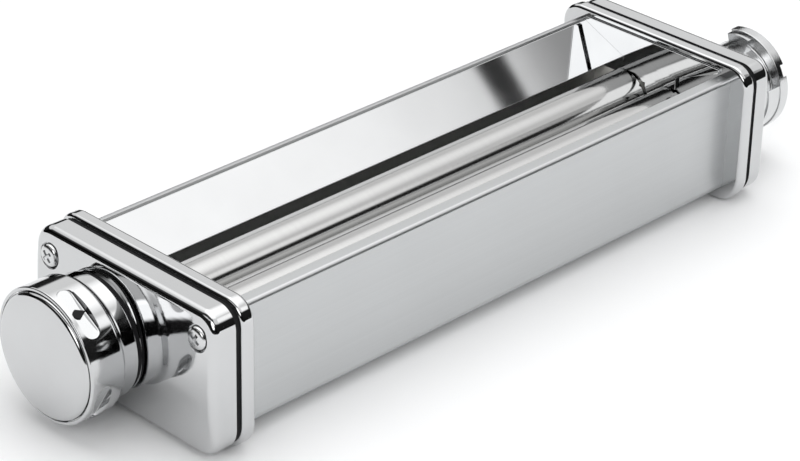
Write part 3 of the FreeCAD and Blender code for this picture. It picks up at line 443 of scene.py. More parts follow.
def stacked(name, loops):
    """A solid through closed loops of the same number of points, capped at both ends."""
    shape = bmesh.new()
    rings = [[shape.verts.new(spot) for spot in loop] for loop in loops]
    for first, second in zip(rings, rings[1:]):
        for index in range(len(first)):
            following = (index + 1) % len(first)
            shape.faces.new((first[index], first[following], second[following], second[index]))
    shape.faces.new(rings[0])
    shape.faces.new(rings[-1])
    return from_bmesh(name, shape)


def drawn(name, outline, start, end):
    """A (y, z) outline drawn out along X."""
    return stacked(name, [[(x, spot[0], spot[1]) for spot in outline] for x in (start, end)])


def weld(mesh, near, sliver):
    """Join points that lie near each other and drop slivers."""
    shape = bmesh.new()
    shape.from_mesh(mesh)
    bmesh.ops.remove_doubles(shape, verts=shape.verts, dist=near)
    bmesh.ops.dissolve_degenerate(shape, edges=shape.edges, dist=sliver)
    shape.to_mesh(mesh)
    shape.free()


def merged_copy(node):
    """A copy of a CAD node with its loose triangles joined."""
    mesh = frame["nodes"][node].data.copy()
    mesh.materials.clear()
    weld(mesh, WELD, POINT)
    made = bpy.data.objects.new(f"{node}_dressed", mesh)
    bpy.context.scene.collection.objects.link(made)
    return made


def settle(piece):
    """Turn the modifiers' result into the piece's own mesh."""
    bpy.context.view_layer.update()
    evaluated = piece.evaluated_get(bpy.context.evaluated_depsgraph_get())
    mesh = bpy.data.meshes.new_from_object(evaluated)
    piece.modifiers.clear()
    piece.data = mesh
    return piece


def combine(piece, others, operation):
    """Cut others out of piece, or join them to it."""
    for other in others:
        cut = piece.modifiers.new("Combine", "BOOLEAN")
        cut.operation = operation
        cut.solver = "EXACT"
        cut.object = other
        settle(piece)
        bpy.data.objects.remove(other)
    weld(piece.data, CUT_WELD, CUT_WELD)
    return piece


def break_edges(piece, width, segments=2, angle=40.0):
    bevel = piece.modifiers.new("Edge break", "BEVEL")
    bevel.width = width
    bevel.segments = segments
    bevel.limit_method = "ANGLE"
    bevel.angle_limit = math.radians(angle)
    bevel.miter_outer = "MITER_ARC"
    bevel.harden_normals = False
    return settle(piece)


def shade(piece, angle=32.0, weighted=True):
    """Smooth shading with hard edges above the angle, led by the large faces."""
    mesh = piece.data
    mesh.polygons.foreach_set("use_smooth", [True] * len(mesh.polygons))
    mesh.set_sharp_from_angle(angle=math.radians(angle))
    if weighted:
        normals = piece.modifiers.new("Face-led normals", "WEIGHTED_NORMAL")
        normals.keep_sharp = True
        normals.weight = 60
        settle(piece)
    return piece


def place(piece, finish, *nodes, slot=None):
    """Give a piece its finish and its body, and hide the CAD nodes that it stands for."""
    piece.data.materials.clear()
    piece.data.materials.append(material(finish))
    bodies = frame["record"]["behaviour"]["bodies"]
    body = next(name for name, members in bodies.items() if nodes[0] in members)
    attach(piece, body)
    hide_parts(*nodes)
    return piece


def frame_outline(inset, steps=10):
    """The end frames' outline, drawn in by inset, as (y, z) points."""
    low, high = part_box("right_end_frame")
    foot = FOOT_ROUND - inset
    top = TOP_ROUND - inset
    return soften([
        (low.y + inset, low.z + inset, foot), (high.y - inset, low.z + inset, foot),
        (high.y - inset, high.z - inset, top), (low.y + inset, high.z - inset, top),
    ], steps)


def rounded_plate(name, side, stations):
    """A plate with the end frames' outline. A station is (distance from the middle, inset)."""
    return stacked(name, [
        [(side * x, y, z) for y, z in frame_outline(inset)] for x, inset in stations])


def edge_stations(x, inset, radius, rising, steps=7):
    """Stations of a rounded rim that ends, or starts, at distance x."""
    rim = [
        (x - radius + radius * math.sin(turn), inset + radius - radius * math.cos(turn))
        for turn in (math.pi / 2 * step / steps for step in range(steps + 1))
    ]
    if rising:
        return rim
    return [(2 * x - out, drawn_in) for out, drawn_in in reversed(rim)]


def disc(name, axis, start, end, radius, segments=64):
    return turned(name, axis, [(start, 0.0), (start, radius), (end, radius), (end, 0.0)], segments)


def ring_sector(name, axis, start, end, inner, outer, first, sweep, steps=40):
    """A sector of a tube about X, with angles from +Y towards +Z in degrees."""
    angles = [math.radians(first + sweep * step / steps) for step in range(steps + 1)]
    outline = [around(axis, outer, angle) for angle in angles]
    outline += [around(axis, inner, angle) for angle in reversed(angles)]
    return drawn(name, outline, start, end)


# Pieces

class ROLLER_OT_end_frames(bpy.types.Operator):
    """Build the polished end frames, gaskets and covers"""

    bl_idname = "sheet_roller.end_frames"
    bl_label = "End frames and covers"

    def execute(self, context):
        for name, side in SIDES.items():
            self.end_frame(name, side)
            self.cover(name, side)
            # Near-black rubber gaskets whose dark also paints the shadow in the seam groove between
            # frame and cover.
            place(shade(merged_copy(f"{name}_gasket")), "black_rubber", f"{name}_gasket")
        return {"FINISHED"}

    def end_frame(self, name, side):
        rim = 1.1 * MM
        bush = 4.52 * MM
        travel = 1.5 * MM
        play = 0.08 * MM
        stations = edge_stations(HALF_SPAN, 0.0, rim, False)
        stations += edge_stations(FRAME_OUT, 0.0, rim, True)
        piece = rounded_plate(f"{name}_frame_plate", side, stations)
        reach = sorted((side * (HALF_SPAN - MM), side * (FRAME_OUT + MM)))
        low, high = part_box(f"{name}_bearing_block")
        front, rear = low.y - travel, high.y + travel
        bottom, top = low.z - play, high.z + play
        slot = [(front, bottom), (rear, bottom), (rear, top), (front, top)]
        combine(piece, [
            drawn("slot_cut", slot, *reach),
            disc("bush_cut", DRIVE_AXIS, *reach, bush),
        ], "DIFFERENCE")
        place(shade(piece), "polished_steel", f"{name}_end_frame")

    def cover(self, name, side):
        inset = 0.7 * MM
        wall = 1.6 * MM
        rim = 2.0 * MM
        stations = [(COVER_IN, inset)] + edge_stations(COVER_OUT, inset, rim, True)
        piece = rounded_plate(f"{name}_cover_cup", side, stations)
        if side < 0:
            crown_face(piece)
        hollow = rounded_plate("hollow", side, [
            (COVER_IN - MM, inset + wall), (COVER_OUT - wall, inset + wall)])
        combine(piece, [hollow], "DIFFERENCE")
        if side < 0:
            self.add_boss(piece)
        sinks = [self.screw_sink(spot, side) for spot in screw_spots(name)]
        combine(piece, sinks, "DIFFERENCE")
        place(shade(piece), "polished_steel", f"{name}_cover")

    @staticmethod
    def add_boss(piece):
        """Join the knob's boss to the left cover and bore it."""
        root = -COVER_OUT + 0.6 * MM
        face = -COVER_OUT - CROWN
        radius = 15.2 * MM
        bore = 6.5 * MM
        boss = turned("boss", KNOB_AXIS, soften([
            (root, 0.0), (root, radius), (face, radius), (face, 0.0)]))
        combine(piece, [boss], "UNION")
        reach = sorted((-COVER_OUT + 2 * MM, -BOSS_OUT - MM))
        combine(piece, [disc("bore", KNOB_AXIS, *reach, bore)], "DIFFERENCE")

    @staticmethod
    def screw_sink(spot, side):
        """The sunk hole of one screw head, with a rolled lip."""
        wall = 3.3 * MM
        mouth = 3.9 * MM
        lip_depth = 0.05 * MM
        lip_round = 0.4 * MM
        seat = screw_seat(side)
        face = side * (COVER_OUT + (crown_rise(spot.z) if side < 0 else 0.0))
        outside = face + side * MM
        return turned("sink", spot, soften([
            (outside, 0.0), (outside, mouth), (face - side * lip_depth, wall, lip_round),
            (seat, wall), (seat, 0.0)], steps=4), segments=48)


def crown_rise(z):
    """How far the left cover's face bows out at a height."""
    low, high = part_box("right_cover")
    half = (high.z - low.z) / 2
    ball = (half ** 2 + CROWN ** 2) / (2 * CROWN)
    return math.sqrt(ball ** 2 - (z - low.z - half) ** 2) - ball + CROWN


def crown_face(piece, strips=32):
    """Bow the left cover's face and rim, in level strips, and leave its open end."""
    low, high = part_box("right_cover")
    open_end = COVER_IN + 0.1 * MM
    shape = bmesh.new()
    shape.from_mesh(piece.data)
    for step in range(1, strips):
        level = low.z + (high.z - low.z) * step / strips
        parts = [*shape.verts, *shape.edges, *shape.faces]
        bmesh.ops.bisect_plane(shape, geom=parts, plane_co=(0, 0, level), plane_no=(0, 0, 1))
    for vert in shape.verts:
        if -vert.co.x > open_end:
            vert.co.x -= crown_rise(vert.co.z)
    shape.to_mesh(piece.data)
    shape.free()


def screw_seat(side):
    """Where a cover's screw heads rest."""
    return side * (COVER_OUT - (SEAT_DEPTH if side > 0 else 0.0))


def screw_spots(name):
    """Middles of a cover's two screws."""
    low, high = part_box(f"{name}_cover_screws")
    radius = (high.z - low.z) / 2
    return [Vector((0, y, low.z + radius)) for y in (low.y + radius, high.y - radius)]


class ROLLER_OT_panels(bpy.types.Operator):
    """Build the folded panels, the dough guides and the cheeks"""

    bl_idname = "sheet_roller.panels"
    bl_label = "Panels, guides and cheeks"

    def execute(self, context):
        edge = context.scene.roller_sizes.sheet_edge
        for name, face, hem in (("front", -1, 3.9 * MM), ("rear", 1, 2.1 * MM)):
            self.panel(name, face, hem, edge)
            self.guide(name, face, hem)
        for name in SIDES:
            piece = merged_copy(f"{name}_cheek")
            place(shade(break_edges(piece, edge)), "mirror_steel", f"{name}_cheek")
        return {"FINISHED"}

    def panel(self, name, face, hem, edge):
        low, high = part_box(f"{name}_panel")
        wall = high.y if face > 0 else -low.y
        tip = low.y if face > 0 else -high.y
        top_bend = 1.2 * MM
        foot_bend = 3.2 * MM
        roof = high.z - SHEET
        sole = low.z + SHEET
        corners = [
            (wall - hem, high.z, edge), (wall, high.z, top_bend), (wall, low.z, foot_bend),
            (tip, low.z, edge), (tip, sole, edge), (wall - SHEET, sole, foot_bend - SHEET),
            (wall - SHEET, roof, top_bend - SHEET), (wall - hem, roof, edge),
        ]
        outline = [(face * y, z) for y, z in soften(corners, steps=8)]
        piece = drawn(f"{name}_panel_sheet", outline, -HALF_SPAN, HALF_SPAN)
        place(shade(piece), "satin_steel", f"{name}_panel")

    def guide(self, name, face, hem):
        low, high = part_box(f"{name}_guide")
        foot = low.y if face > 0 else -high.y
        lip = high.y if face > 0 else -low.y
        panel_low, panel_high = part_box(f"{name}_panel")
        bend = (panel_high.y if face > 0 else -panel_low.y) - hem
        bend_round = 0.5 * MM
        foot_round = 0.2 * MM
        thick = SHEET * 1.35  # of the slanted sheet, measured level
        roof = high.z - SHEET
        slant = (bend - foot) / (high.z - low.z)
        inner = foot + thick + slant * (roof - low.z)
        corners = [
            (lip, high.z), (bend, high.z, bend_round), (foot, low.z, foot_round),
            (foot + thick, low.z, foot_round), (inner, roof), (lip, roof),
        ]
        outline = [(face * y, z) for y, z in soften(corners, steps=6)]
        piece = drawn(f"{name}_guide_sheet", outline, -HALF_SPAN, HALF_SPAN)
        place(shade(piece), "mirror_steel", f"{name}_guide")


class ROLLER_OT_rollers(bpy.types.Operator):
    """Build the two rollers"""

    bl_idname = "sheet_roller.rollers"
    bl_label = "Rollers"

    def execute(self, context):
        barrel = HALF_SPAN - 0.3 * MM
        barrel_edge = 0.4 * MM
        journal = 3.0 * MM
        journal_edge = 0.3 * MM
        for node, axis in (("drive_roller", DRIVE_AXIS), ("idle_roller", IDLE_AXIS)):
            low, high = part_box(node)
            radius = (high.z - low.z) / 2
            profile = soften([
                (low.x, 0.0), (low.x, journal, journal_edge),
                (-barrel, journal), (-barrel, radius, barrel_edge),
                (barrel, radius, barrel_edge), (barrel, journal),
                (high.x, journal, journal_edge), (high.x, 0.0),
            ])
            place(shade(turned(f"{node}_barrel", axis, profile)), "roller_steel", node)
        return {"FINISHED"}


class ROLLER_OT_knob(bpy.types.Operator):
    """Build the thickness knob with its cap, index mark and dark ring"""

    bl_idname = "sheet_roller.knob"
    bl_label = "Thickness knob"

    def execute(self, context):
        self.shell()
        cap = turned("knob_cap_disc", KNOB_AXIS, self.cap_profile())
        place(shade(cap), "polished_steel", "knob_cap")
        self.dark_ring()
        mark = break_edges(merged_copy("knob_mark"), width=0.08 * MM)
        place(shade(mark), "black_mark", "knob_mark")
        return {"FINISHED"}

    def shell(self):
        low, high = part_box("knob")
        back = high.x
        rim = low.x
        head = (high.z - low.z) / 2
        neck = 15.8 * MM
        shoulder = back - 4.2 * MM
        slope = shoulder - 1.4 * MM
        bore = head - 0.9 * MM
        cap_seat = rim + 1.6 * MM
        well = 9.0 * MM
        well_end = back - 3.0 * MM
        shaft = 4.4 * MM
        piece = turned("knob_shell", KNOB_AXIS, soften([
            (back, shaft), (back, neck, 0.4 * MM), (shoulder, neck, 1.6 * MM),
            (slope, head, 1.2 * MM), (rim, head, 0.4 * MM), (rim, bore, 0.2 * MM),
            (cap_seat, bore), (cap_seat, well), (well_end, well), (well_end, shaft),
        ], steps=8), segments=224)
        flat = rim + 3.6 * MM
        first_tilt = 31.5
        cuts = [self.flat_cut(flat, first_tilt + 90.0 * index) for index in range(4)]
        combine(piece, cuts, "DIFFERENCE")
        place(shade(piece), "polished_steel", "knob")

    @staticmethod
    def dark_ring():
        low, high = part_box("knob_seal")
        foot = -COVER_OUT - CROWN + 0.1 * MM
        inner = 11.0 * MM
        outer = 15.0 * MM
        ring = soften([
            (foot, inner), (foot, outer, 0.1 * MM), (low.x, outer, 0.3 * MM), (low.x, inner)])
        place(shade(turned("knob_dark_ring", KNOB_AXIS, ring)), "black_rubber", "knob_seal")

    @staticmethod
    def flat_cut(x, tilt):
        """A capsule that cuts one finger flat, with a soft floor."""
        half = 7.2 * MM
        end = 2.2 * MM
        floor = 15.6 * MM
        turn = Matrix.Translation((0, KNOB_AXIS.y, KNOB_AXIS.z))
        turn = turn @ Matrix.Rotation(math.radians(tilt), 4, "X")
        loops = []
        for lift, grow in ((0.0, -0.25), (0.08, -0.07), (0.25, 0.0), (3.5, 0.5)):
            wide = end + grow * MM
            tall = half + grow * MM
            outline = soften([
                (x + across * wide, along * tall, wide - WELD)
                for across, along in ((-1, -1), (1, -1), (1, 1), (-1, 1))
            ], steps=12)
            level = floor + lift * MM
            loops.append([turn @ Vector((across, along, level)) for across, along in outline])
        return stacked("flat_cut", loops)

    @staticmethod
    def cap_profile():
        """Pillow-shaped disc: a rolled edge that runs on into a flat dome."""
        low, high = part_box("knob_cap")
        radius = (high.z - low.z) / 2
        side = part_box("knob")[0].x + 0.4 * MM
        edge = 1.3 * MM
        slope = math.radians(10.0)
        edge_steps = 12
        dome_steps = 24
        profile = [(high.x, 0.0), (high.x, radius)]
        for step in range(edge_steps + 1):
            turn = (math.pi / 2 - slope) * step / edge_steps
            profile.append((side - edge * math.sin(turn), radius - edge + edge * math.cos(turn)))
        start, meet = profile[-1]
        ball = meet / math.sin(slope)
        for step in range(1, dome_steps + 1):
            turn = slope * (1 - step / dome_steps)
            rise = ball * (math.cos(turn) - math.cos(slope))
            profile.append((start - rise, ball * math.sin(turn)))
        return profile


class ROLLER_OT_hub(bpy.types.Operator):
    """Build the twist-lock drive hub and the square tang inside it"""

    bl_idname = "sheet_roller.hub"
    bl_label = "Drive hub"

    def execute(self, context):
        low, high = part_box("drive_hub")
        radius = DRIVE_AXIS.z - low.z
        beyond = radius + 2 * MM
        neck = 11.4 * MM
        flange = high.x - 3.4 * MM
        piece = self.barrel(low.x, flange, high.x, neck, radius, context.scene.roller_sizes.edge)
        inner = 10.0 * MM
        drop = 0.7 * MM
        into_flange = flange + 1.7 * MM
        collar_start = high.x - 8.2 * MM
        collar_end = flange + 0.5 * MM
        lug_start = flange - 1.8 * MM
        gap_start = flange - 0.4 * MM
        # First angle, sweep and steps
        saddle = (168.0, 172.0, 80)
        lug = (74.0, 30.0, 24)
        combine(piece, [
            ring_sector("saddle", DRIVE_AXIS, low.x, into_flange, inner, radius - drop, *saddle),
            ring_sector("collar", DRIVE_AXIS, collar_start, collar_end,
                        inner, radius - drop / 2, *saddle),
            ring_sector("lug", DRIVE_AXIS, lug_start, into_flange, inner, radius - drop, *lug),
        ], "UNION")
        gap = ring_sector("rear_gap", DRIVE_AXIS, gap_start, high.x + MM,
                          neck, beyond, first=340.0, sweep=94.0)
        combine(piece, [gap], "DIFFERENCE")
        notch = self.notch_outline(neck, beyond)
        notch_end = high.x - 1.7 * MM
        combine(piece, [drawn("notch", notch, notch_end, high.x + MM)], "DIFFERENCE")
        place(shade(piece), "hub_steel", "drive_hub", slot="satin_steel")
        place(shade(merged_copy("drive_tang")), "machined_steel", "drive_tang")
        return {"FINISHED"}

    @staticmethod
    def barrel(back, flange, front, neck, radius, edge):
        """The hub's turned body: neck, flange and socket."""
        shaft = 3.6 * MM
        bore = 8.6 * MM
        bore_end = back + 3.0 * MM
        fillet = 0.6 * MM
        rim = 0.5 * MM
        return turned("hub_barrel", DRIVE_AXIS, soften([
            (back, shaft), (back, neck), (flange, neck, fillet), (flange, radius, edge),
            (front, radius, rim), (front, bore, rim), (bore_end, bore), (bore_end, shaft),
        ], steps=5))

    @staticmethod
    def notch_outline(inner, outer):
        """The flange's notch, as (y, z) points."""
        turn = math.radians(153.0)
        half = 1.7 * MM
        run = Vector((math.cos(turn), math.sin(turn)))
        across = Vector((-run.y, run.x))
        start = Vector((DRIVE_AXIS.y, DRIVE_AXIS.z))
        corners = ((inner, -half), (outer, -half), (outer, half), (inner, half))
        return [start + run * reach + across * offset for reach, offset in corners]


class ROLLER_OT_screws(bpy.types.Operator):
    """Build the cross-head screws with Geometry Nodes"""

    bl_idname = "sheet_roller.screws"
    bl_label = "Screws"

    def execute(self, context):
        head = 3.0 * MM
        spots = []
        for name, side in SIDES.items():
            seat = screw_seat(side)
            spots += [(Vector((seat, spot.y, spot.z)), side) for spot in screw_spots(name)]
        low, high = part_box("tie_rod_screws")
        for side in SIDES.values():
            for y in (low.y + head, high.y - head):
                spots.append((Vector((side * FRAME_OUT, y, low.z + head)), side))
        mesh = bpy.data.meshes.new("housing_screws")
        mesh.from_pydata([spot for spot, side in spots], [], [])
        facing = mesh.attributes.new("facing", "FLOAT_VECTOR", "POINT")
        for index, (spot, side) in enumerate(spots):
            facing.data[index].vector = (side, 0, 0)
        piece = bpy.data.objects.new("housing_screws", mesh)
        context.scene.collection.objects.link(piece)
        tree, sockets = self.screw_tree()
        nodes = piece.modifiers.new("Screws", "NODES")
        nodes.node_group = tree
        values = {
            "Head radius": head, "Head height": 1.8 * MM,
            "Crown": context.scene.roller_sizes.screw_crown,
            "Cross length": 3.3 * MM, "Cross width": 0.85 * MM, "Cross depth": 1.0 * MM,
            "Shank radius": 1.5 * MM, "Shank length": 6.0 * MM,
            "Seed": 7, "Finish": material("fastener_steel"),
        }
        for name, value in values.items():
            nodes[sockets[name]] = value
        settle(piece)
        shade(piece, angle=35.0, weighted=False)
        place(piece, "fastener_steel", "left_cover_screws", "right_cover_screws", "tie_rod_screws")
        return {"FINISHED"}

    @staticmethod
    def screw_tree():
        """A tree that turns points into screws: crown by formula, cross cut out, shank below."""
        tree = bpy.data.node_groups.new("Cross head screws", "GeometryNodeTree")
        for way in ("INPUT", "OUTPUT"):
            tree.interface.new_socket("Geometry", in_out=way, socket_type="NodeSocketGeometry")
        kinds = dict.fromkeys((
            "Head radius", "Head height", "Crown", "Cross length", "Cross width", "Cross depth",
            "Shank radius", "Shank length"), "NodeSocketFloat")
        kinds.update({"Seed": "NodeSocketInt", "Finish": "NodeSocketMaterial"})
        sockets = {}
        for name, kind in kinds.items():
            made = tree.interface.new_socket(name, in_out="INPUT", socket_type=kind)
            sockets[name] = made.identifier
        graph = Graph(tree)
        given = graph.node("NodeGroupInput").outputs
        rings, spokes, shank_sides = 14, 48, 32
        least_spin, most_spin = 0.2, 1.3

        def size(name):
            return Wire(graph, given[name])

        def first(kind, settings=None, **inputs):
            """Add a node, with underscores for spaces in its sockets, and give its first output."""
            named = {name.replace("_", " "): value for name, value in inputs.items()}
            return graph.node(kind, settings, named).outputs[0]

        def point(x=0.0, y=0.0, z=0.0):
            return first("ShaderNodeCombineXYZ", X=x, Y=y, Z=z)

        # Head: a grid bent into a crown, closed below, with the cross cut out
        grid = graph.node("GeometryNodeMeshGrid", None, {
            "Vertices X": rings, "Vertices Y": spokes + 1})
        split = graph.node("ShaderNodeSeparateXYZ", None, {0: grid.outputs["UV Map"]})
        climb = Wire(graph, split.outputs[0]) * (math.pi / 2)
        about = Wire(graph, split.outputs[1]) * (2 * math.pi)
        reach = size("Head radius") * climb.sine() ** size("Crown")
        lift = size("Head height") * climb.cosine() ** size("Crown")
        spot = point(reach * about.cosine(), reach * about.sine(), lift)
        crown = first("GeometryNodeSetPosition", Geometry=grid.outputs["Mesh"], Position=spot)
        base = first("GeometryNodeMeshCircle", {"fill_type": "NGON"},
                     Vertices=spokes, Radius=size("Head radius"))
        shell = first("GeometryNodeJoinGeometry", Geometry=[crown, base])
        closed = first("GeometryNodeMergeByDistance", Geometry=shell, Distance=CUT_WELD)
        arms = []
        for long_side, short_side in (("Cross length", "Cross width"),
                                      ("Cross width", "Cross length")):
            box = point(size(long_side), size(short_side), size("Cross depth") * 2)
            arms.append(first(
                "GeometryNodeTransform", Geometry=first("GeometryNodeMeshCube", Size=box),
                Translation=point(z=size("Head height"))))
        head = first("GeometryNodeMeshBoolean", {"operation": "DIFFERENCE", "solver": "EXACT"},
                     Mesh_1=closed, Mesh_2=arms)

        # Shank, and one screw on each point, turned by chance
        rod = first("GeometryNodeMeshCylinder", Vertices=shank_sides,
                    Radius=size("Shank radius"), Depth=size("Shank length"))
        shank = first("GeometryNodeTransform", Geometry=rod,
                      Translation=point(z=size("Shank length") * -0.5))
        screw = first("GeometryNodeJoinGeometry", Geometry=[head, shank])
        facing = first("GeometryNodeInputNamedAttribute", {"data_type": "FLOAT_VECTOR"},
                       Name="facing")
        aim = first("FunctionNodeAlignRotationToVector", {"axis": "Z"}, Vector=facing)
        chance = graph.node("FunctionNodeRandomValue", {"data_type": "FLOAT"}, {
            2: least_spin, 3: most_spin, "Seed": given["Seed"]})
        spin = first("FunctionNodeAxisAngleToRotation", Axis=(0, 0, 1), Angle=chance.outputs[1])
        aimed = first("FunctionNodeRotateRotation", {"rotation_space": "LOCAL"},
                      Rotation=aim, Rotate_By=spin)
        copies = first("GeometryNodeInstanceOnPoints", Points=given["Geometry"],
                       Instance=screw, Rotation=aimed)
        real = first("GeometryNodeRealizeInstances", Geometry=copies)
        coated = first("GeometryNodeSetMaterial", Geometry=real, Material=given["Finish"])
        graph.node("NodeGroupOutput", None, {"Geometry": coated})
        return tree, sockets


class ROLLER_OT_mechanism(bpy.types.Operator):
    """Dress the bearings, carriage, gears and adjuster inside the housing"""

    bl_idname = "sheet_roller.mechanism"
    bl_label = "Mechanism"

    def execute(self, context):
        slots = {part["node"]: part["material_slot"] for part in frame["record"]["subparts"]}
        for node, item in frame["nodes"].items():
            if item.hide_render:
                continue
            place(shade(merged_copy(node)), slots[node], node)
        return {"FINISHED"}


# Stage

# The studio that the steel mirrors. Each part has a direction, and stops of (lean, brightness),
# where lean is how far a view leans towards that direction. Narrow parts stretch their leans
# over the whole ramp, because a ramp has few steps.
CEILING = (0.72, 0.69, 0.0)
CEILING_TILT = 0.24
CEILING_STOPS = [(0.0, 0.012), (0.5, 0.02), (0.555, 1.0), (0.8, 1.0), (0.95, 2.0)]
WINDOW = (0.55, -0.53, 0.645)
WINDOW_LEAST = 0.98
WINDOW_STOPS = [(0.2, 0.0), (0.5, 0.12), (0.74, 0.42), (0.95, 0.55)]
FLAG = (0.740, 0.4934, -0.4573)
FLAG_STRETCH = 6.0
FLAG_MIDDLE = 0.5
FLAG_STOPS = [(0.458, 1.0), (0.47, 0.02), (0.522, 0.03), (0.534, 0.92),
              (0.582, 0.61), (0.636, 0.44), (0.7, 0.4)]
SCREEN = (0.68, -0.462, 0.569)
SCREEN_LEAST = 0.99
SCREEN_STOPS = [(0.45, 0.0), (0.62, 1.0)]
ROOM = (-1.0, 0.0, 0.0)
ROOM_STOPS = [(0.3, 1.0), (0.4, 0.05), (0.6, 0.05), (0.645, 1.0)]
SIDE_WINDOW = (-0.703, -0.46, 0.544)
SIDE_WINDOW_STOPS = [(0.95, 0.0), (0.975, 2.6)]


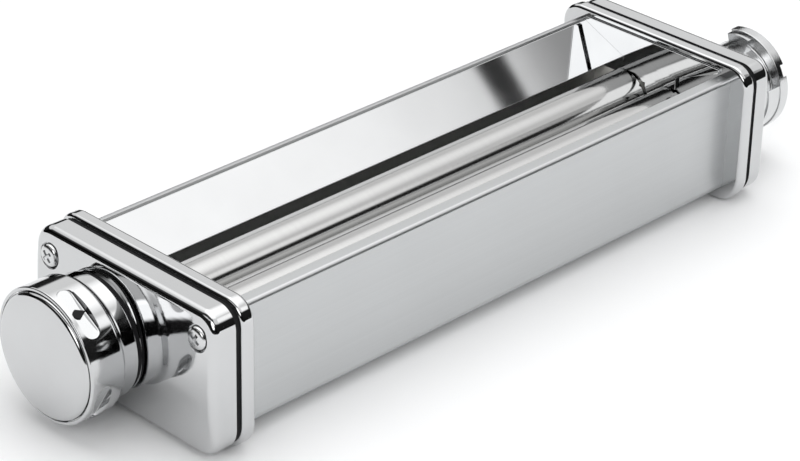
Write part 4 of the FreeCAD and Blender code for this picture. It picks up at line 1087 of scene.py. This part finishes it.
class ROLLER_OT_studio(bpy.types.Operator):
    """Build the floor, the mirrored studio, the lights and the camera"""

    bl_idname = "sheet_roller.studio"
    bl_label = "Studio"

    def execute(self, context):
        studio = context.scene.roller_studio
        self.floor(context, studio)
        self.sky(context, studio)
        self.lights(context, studio)
        self.camera(context, studio)
        context.scene.view_settings.view_transform = "Standard"
        context.scene.view_settings.look = "None"
        return {"FINISHED"}

    @staticmethod
    def floor(context, studio):
        shape = bmesh.new()
        bmesh.ops.create_circle(shape, cap_ends=True, radius=1.6, segments=96)
        floor = from_bmesh("studio_floor", shape)
        if floor.data.polygons[0].normal.z < 0:
            floor.data.flip_normals()
        finish = Finish("studio_floor", Roughness=0.9, Metallic=0.0)
        finish.shader.inputs["Specular IOR Level"].default_value = 0.1
        cloud = finish.noise(scale=3.0, detail=2.0)
        pale, dull = tint(studio.floor), tint(studio.floor, level=0.985)
        finish.surface(Base_Color=finish.blend(cloud, pale, dull))
        floor.data.materials.append(finish.material)

    @staticmethod
    def sky(context, studio):
        """What the steel mirrors, and plain pale ground for the camera.

        A ceiling stands above a dark horizon. A screen with a dark flag on it stands in front of
        a window on the right, the left side of the room is dark, and a side window is cut in it.
        """
        world = bpy.data.worlds.new("studio_sky")
        context.scene.world = world
        world.use_nodes = True
        graph = Graph(world.node_tree)
        graph.tree.nodes.clear()
        view = graph.node("ShaderNodeTexCoord").outputs["Generated"]

        def lean(direction):
            return graph.wire("ShaderNodeVectorMath", {"operation": "DOT_PRODUCT"}, {
                0: view, 1: direction}, "Value")

        def narrow(direction, least, stops):
            """A ramp stretched over the leans from least to 1."""
            return graph.ramp((lean(direction) - least) * (1.0 / (1.0 - least)), stops)

        height = Wire(graph, graph.node("ShaderNodeSeparateXYZ", None, {0: view}).outputs[2])
        ceiling = graph.ramp(height + lean(CEILING) * CEILING_TILT, CEILING_STOPS)
        window = narrow(WINDOW, WINDOW_LEAST, WINDOW_STOPS)
        flag = graph.ramp(lean(FLAG) * FLAG_STRETCH + FLAG_MIDDLE, FLAG_STOPS)
        screen = 1.0 - narrow(SCREEN, SCREEN_LEAST, SCREEN_STOPS) * (1.0 - flag)
        room = graph.ramp(lean(ROOM), ROOM_STOPS)
        side = graph.ramp(lean(SIDE_WINDOW), SIDE_WINDOW_STOPS)
        seen = (ceiling + window) * screen * room + side
        mirror = graph.node("ShaderNodeBackground", None, {"Color": seen, "Strength": studio.sky})
        plain = graph.node("ShaderNodeBackground", None, {
            "Color": tint(studio.floor), "Strength": 1.0})
        path = graph.node("ShaderNodeLightPath")
        both = graph.node("ShaderNodeMixShader", None, {
            0: path.outputs["Is Camera Ray"], 1: mirror.outputs[0], 2: plain.outputs[0]})
        graph.node("ShaderNodeOutputWorld", None, {"Surface": both.outputs[0]})

    @staticmethod
    def lights(context, studio):
        for name, spot, power in (
            ("key_light", (0.2, -1.0, 0.5), studio.key),
            ("fill_light", (-1.0, 0.2, 0.5), studio.fill),
        ):
            lamp = bpy.data.lights.new(name, "AREA")
            lamp.shape = "RECTANGLE"
            lamp.size = 1.0
            lamp.size_y = 0.8
            lamp.energy = power
            made = bpy.data.objects.new(name, lamp)
            made.location = spot
            made.visible_glossy = False
            made.rotation_mode = "QUATERNION"
            made.rotation_quaternion = (-Vector(spot)).to_track_quat("-Z", "Y")
            context.scene.collection.objects.link(made)

    @staticmethod
    def camera(context, studio):
        a, e, r = studio.azimuth, studio.elevation, studio.roll
        back = Vector((math.sin(a) * math.cos(e), -math.cos(a) * math.cos(e), math.sin(e)))
        right = Vector((math.cos(a), math.sin(a), 0))
        up = back.cross(right)
        right, up = math.cos(r) * right + math.sin(r) * up, math.cos(r) * up - math.sin(r) * right
        lens = bpy.data.cameras.new("photo_camera")
        lens.sensor_width = 36.0
        lens.sensor_fit = "HORIZONTAL"
        lens.lens = studio.lens
        lens.clip_start = 0.01
        made = bpy.data.objects.new("photo_camera", lens)
        axes = Matrix((right, up, back)).transposed().to_4x4()
        made.matrix_world = Matrix.Translation(studio.eye) @ axes
        context.scene.collection.objects.link(made)
        context.scene.camera = made


class ROLLER_PT_panel(bpy.types.Panel):
    """List the pieces and their settings"""

    bl_idname = "ROLLER_PT_panel"
    bl_label = "Sheet Roller"
    bl_space_type = "VIEW_3D"
    bl_region_type = "UI"
    bl_category = "Sheet Roller"

    def draw(self, context):
        scene = context.scene
        for group in (scene.roller_finish, scene.roller_sizes, scene.roller_studio):
            box = self.layout.box()
            for name in group.bl_rna.properties.keys():
                if name not in ("rna_type", "name"):
                    box.prop(group, name)
        for operator in OPERATORS:
            self.layout.operator(operator.bl_idname)


GROUPS = {
    "roller_finish": FinishSettings, "roller_sizes": SizeSettings, "roller_studio": StudioSettings,
}
OPERATORS = (
    ROLLER_OT_end_frames, ROLLER_OT_panels, ROLLER_OT_rollers, ROLLER_OT_knob, ROLLER_OT_hub,
    ROLLER_OT_screws, ROLLER_OT_mechanism, ROLLER_OT_studio,
)


def register():
    for kind in (*GROUPS.values(), *OPERATORS, ROLLER_PT_panel):
        bpy.utils.register_class(kind)
    for name, group in GROUPS.items():
        setattr(bpy.types.Scene, name, PointerProperty(type=group))


def unregister():
    for name in GROUPS:
        delattr(bpy.types.Scene, name)
    for kind in reversed((*GROUPS.values(), *OPERATORS, ROLLER_PT_panel)):
        bpy.utils.unregister_class(kind)


def main():
    for name in ("Cube", "Light", "Camera"):
        if name in bpy.data.objects:
            bpy.data.objects.remove(bpy.data.objects[name])
    register()
    bpy.ops.sheet_roller.end_frames()
    bpy.ops.sheet_roller.panels()
    bpy.ops.sheet_roller.rollers()
    bpy.ops.sheet_roller.knob()
    bpy.ops.sheet_roller.hub()
    bpy.ops.sheet_roller.screws()
    bpy.ops.sheet_roller.mechanism()
    bpy.ops.sheet_roller.studio()


if __name__ == "__main__":
    main()
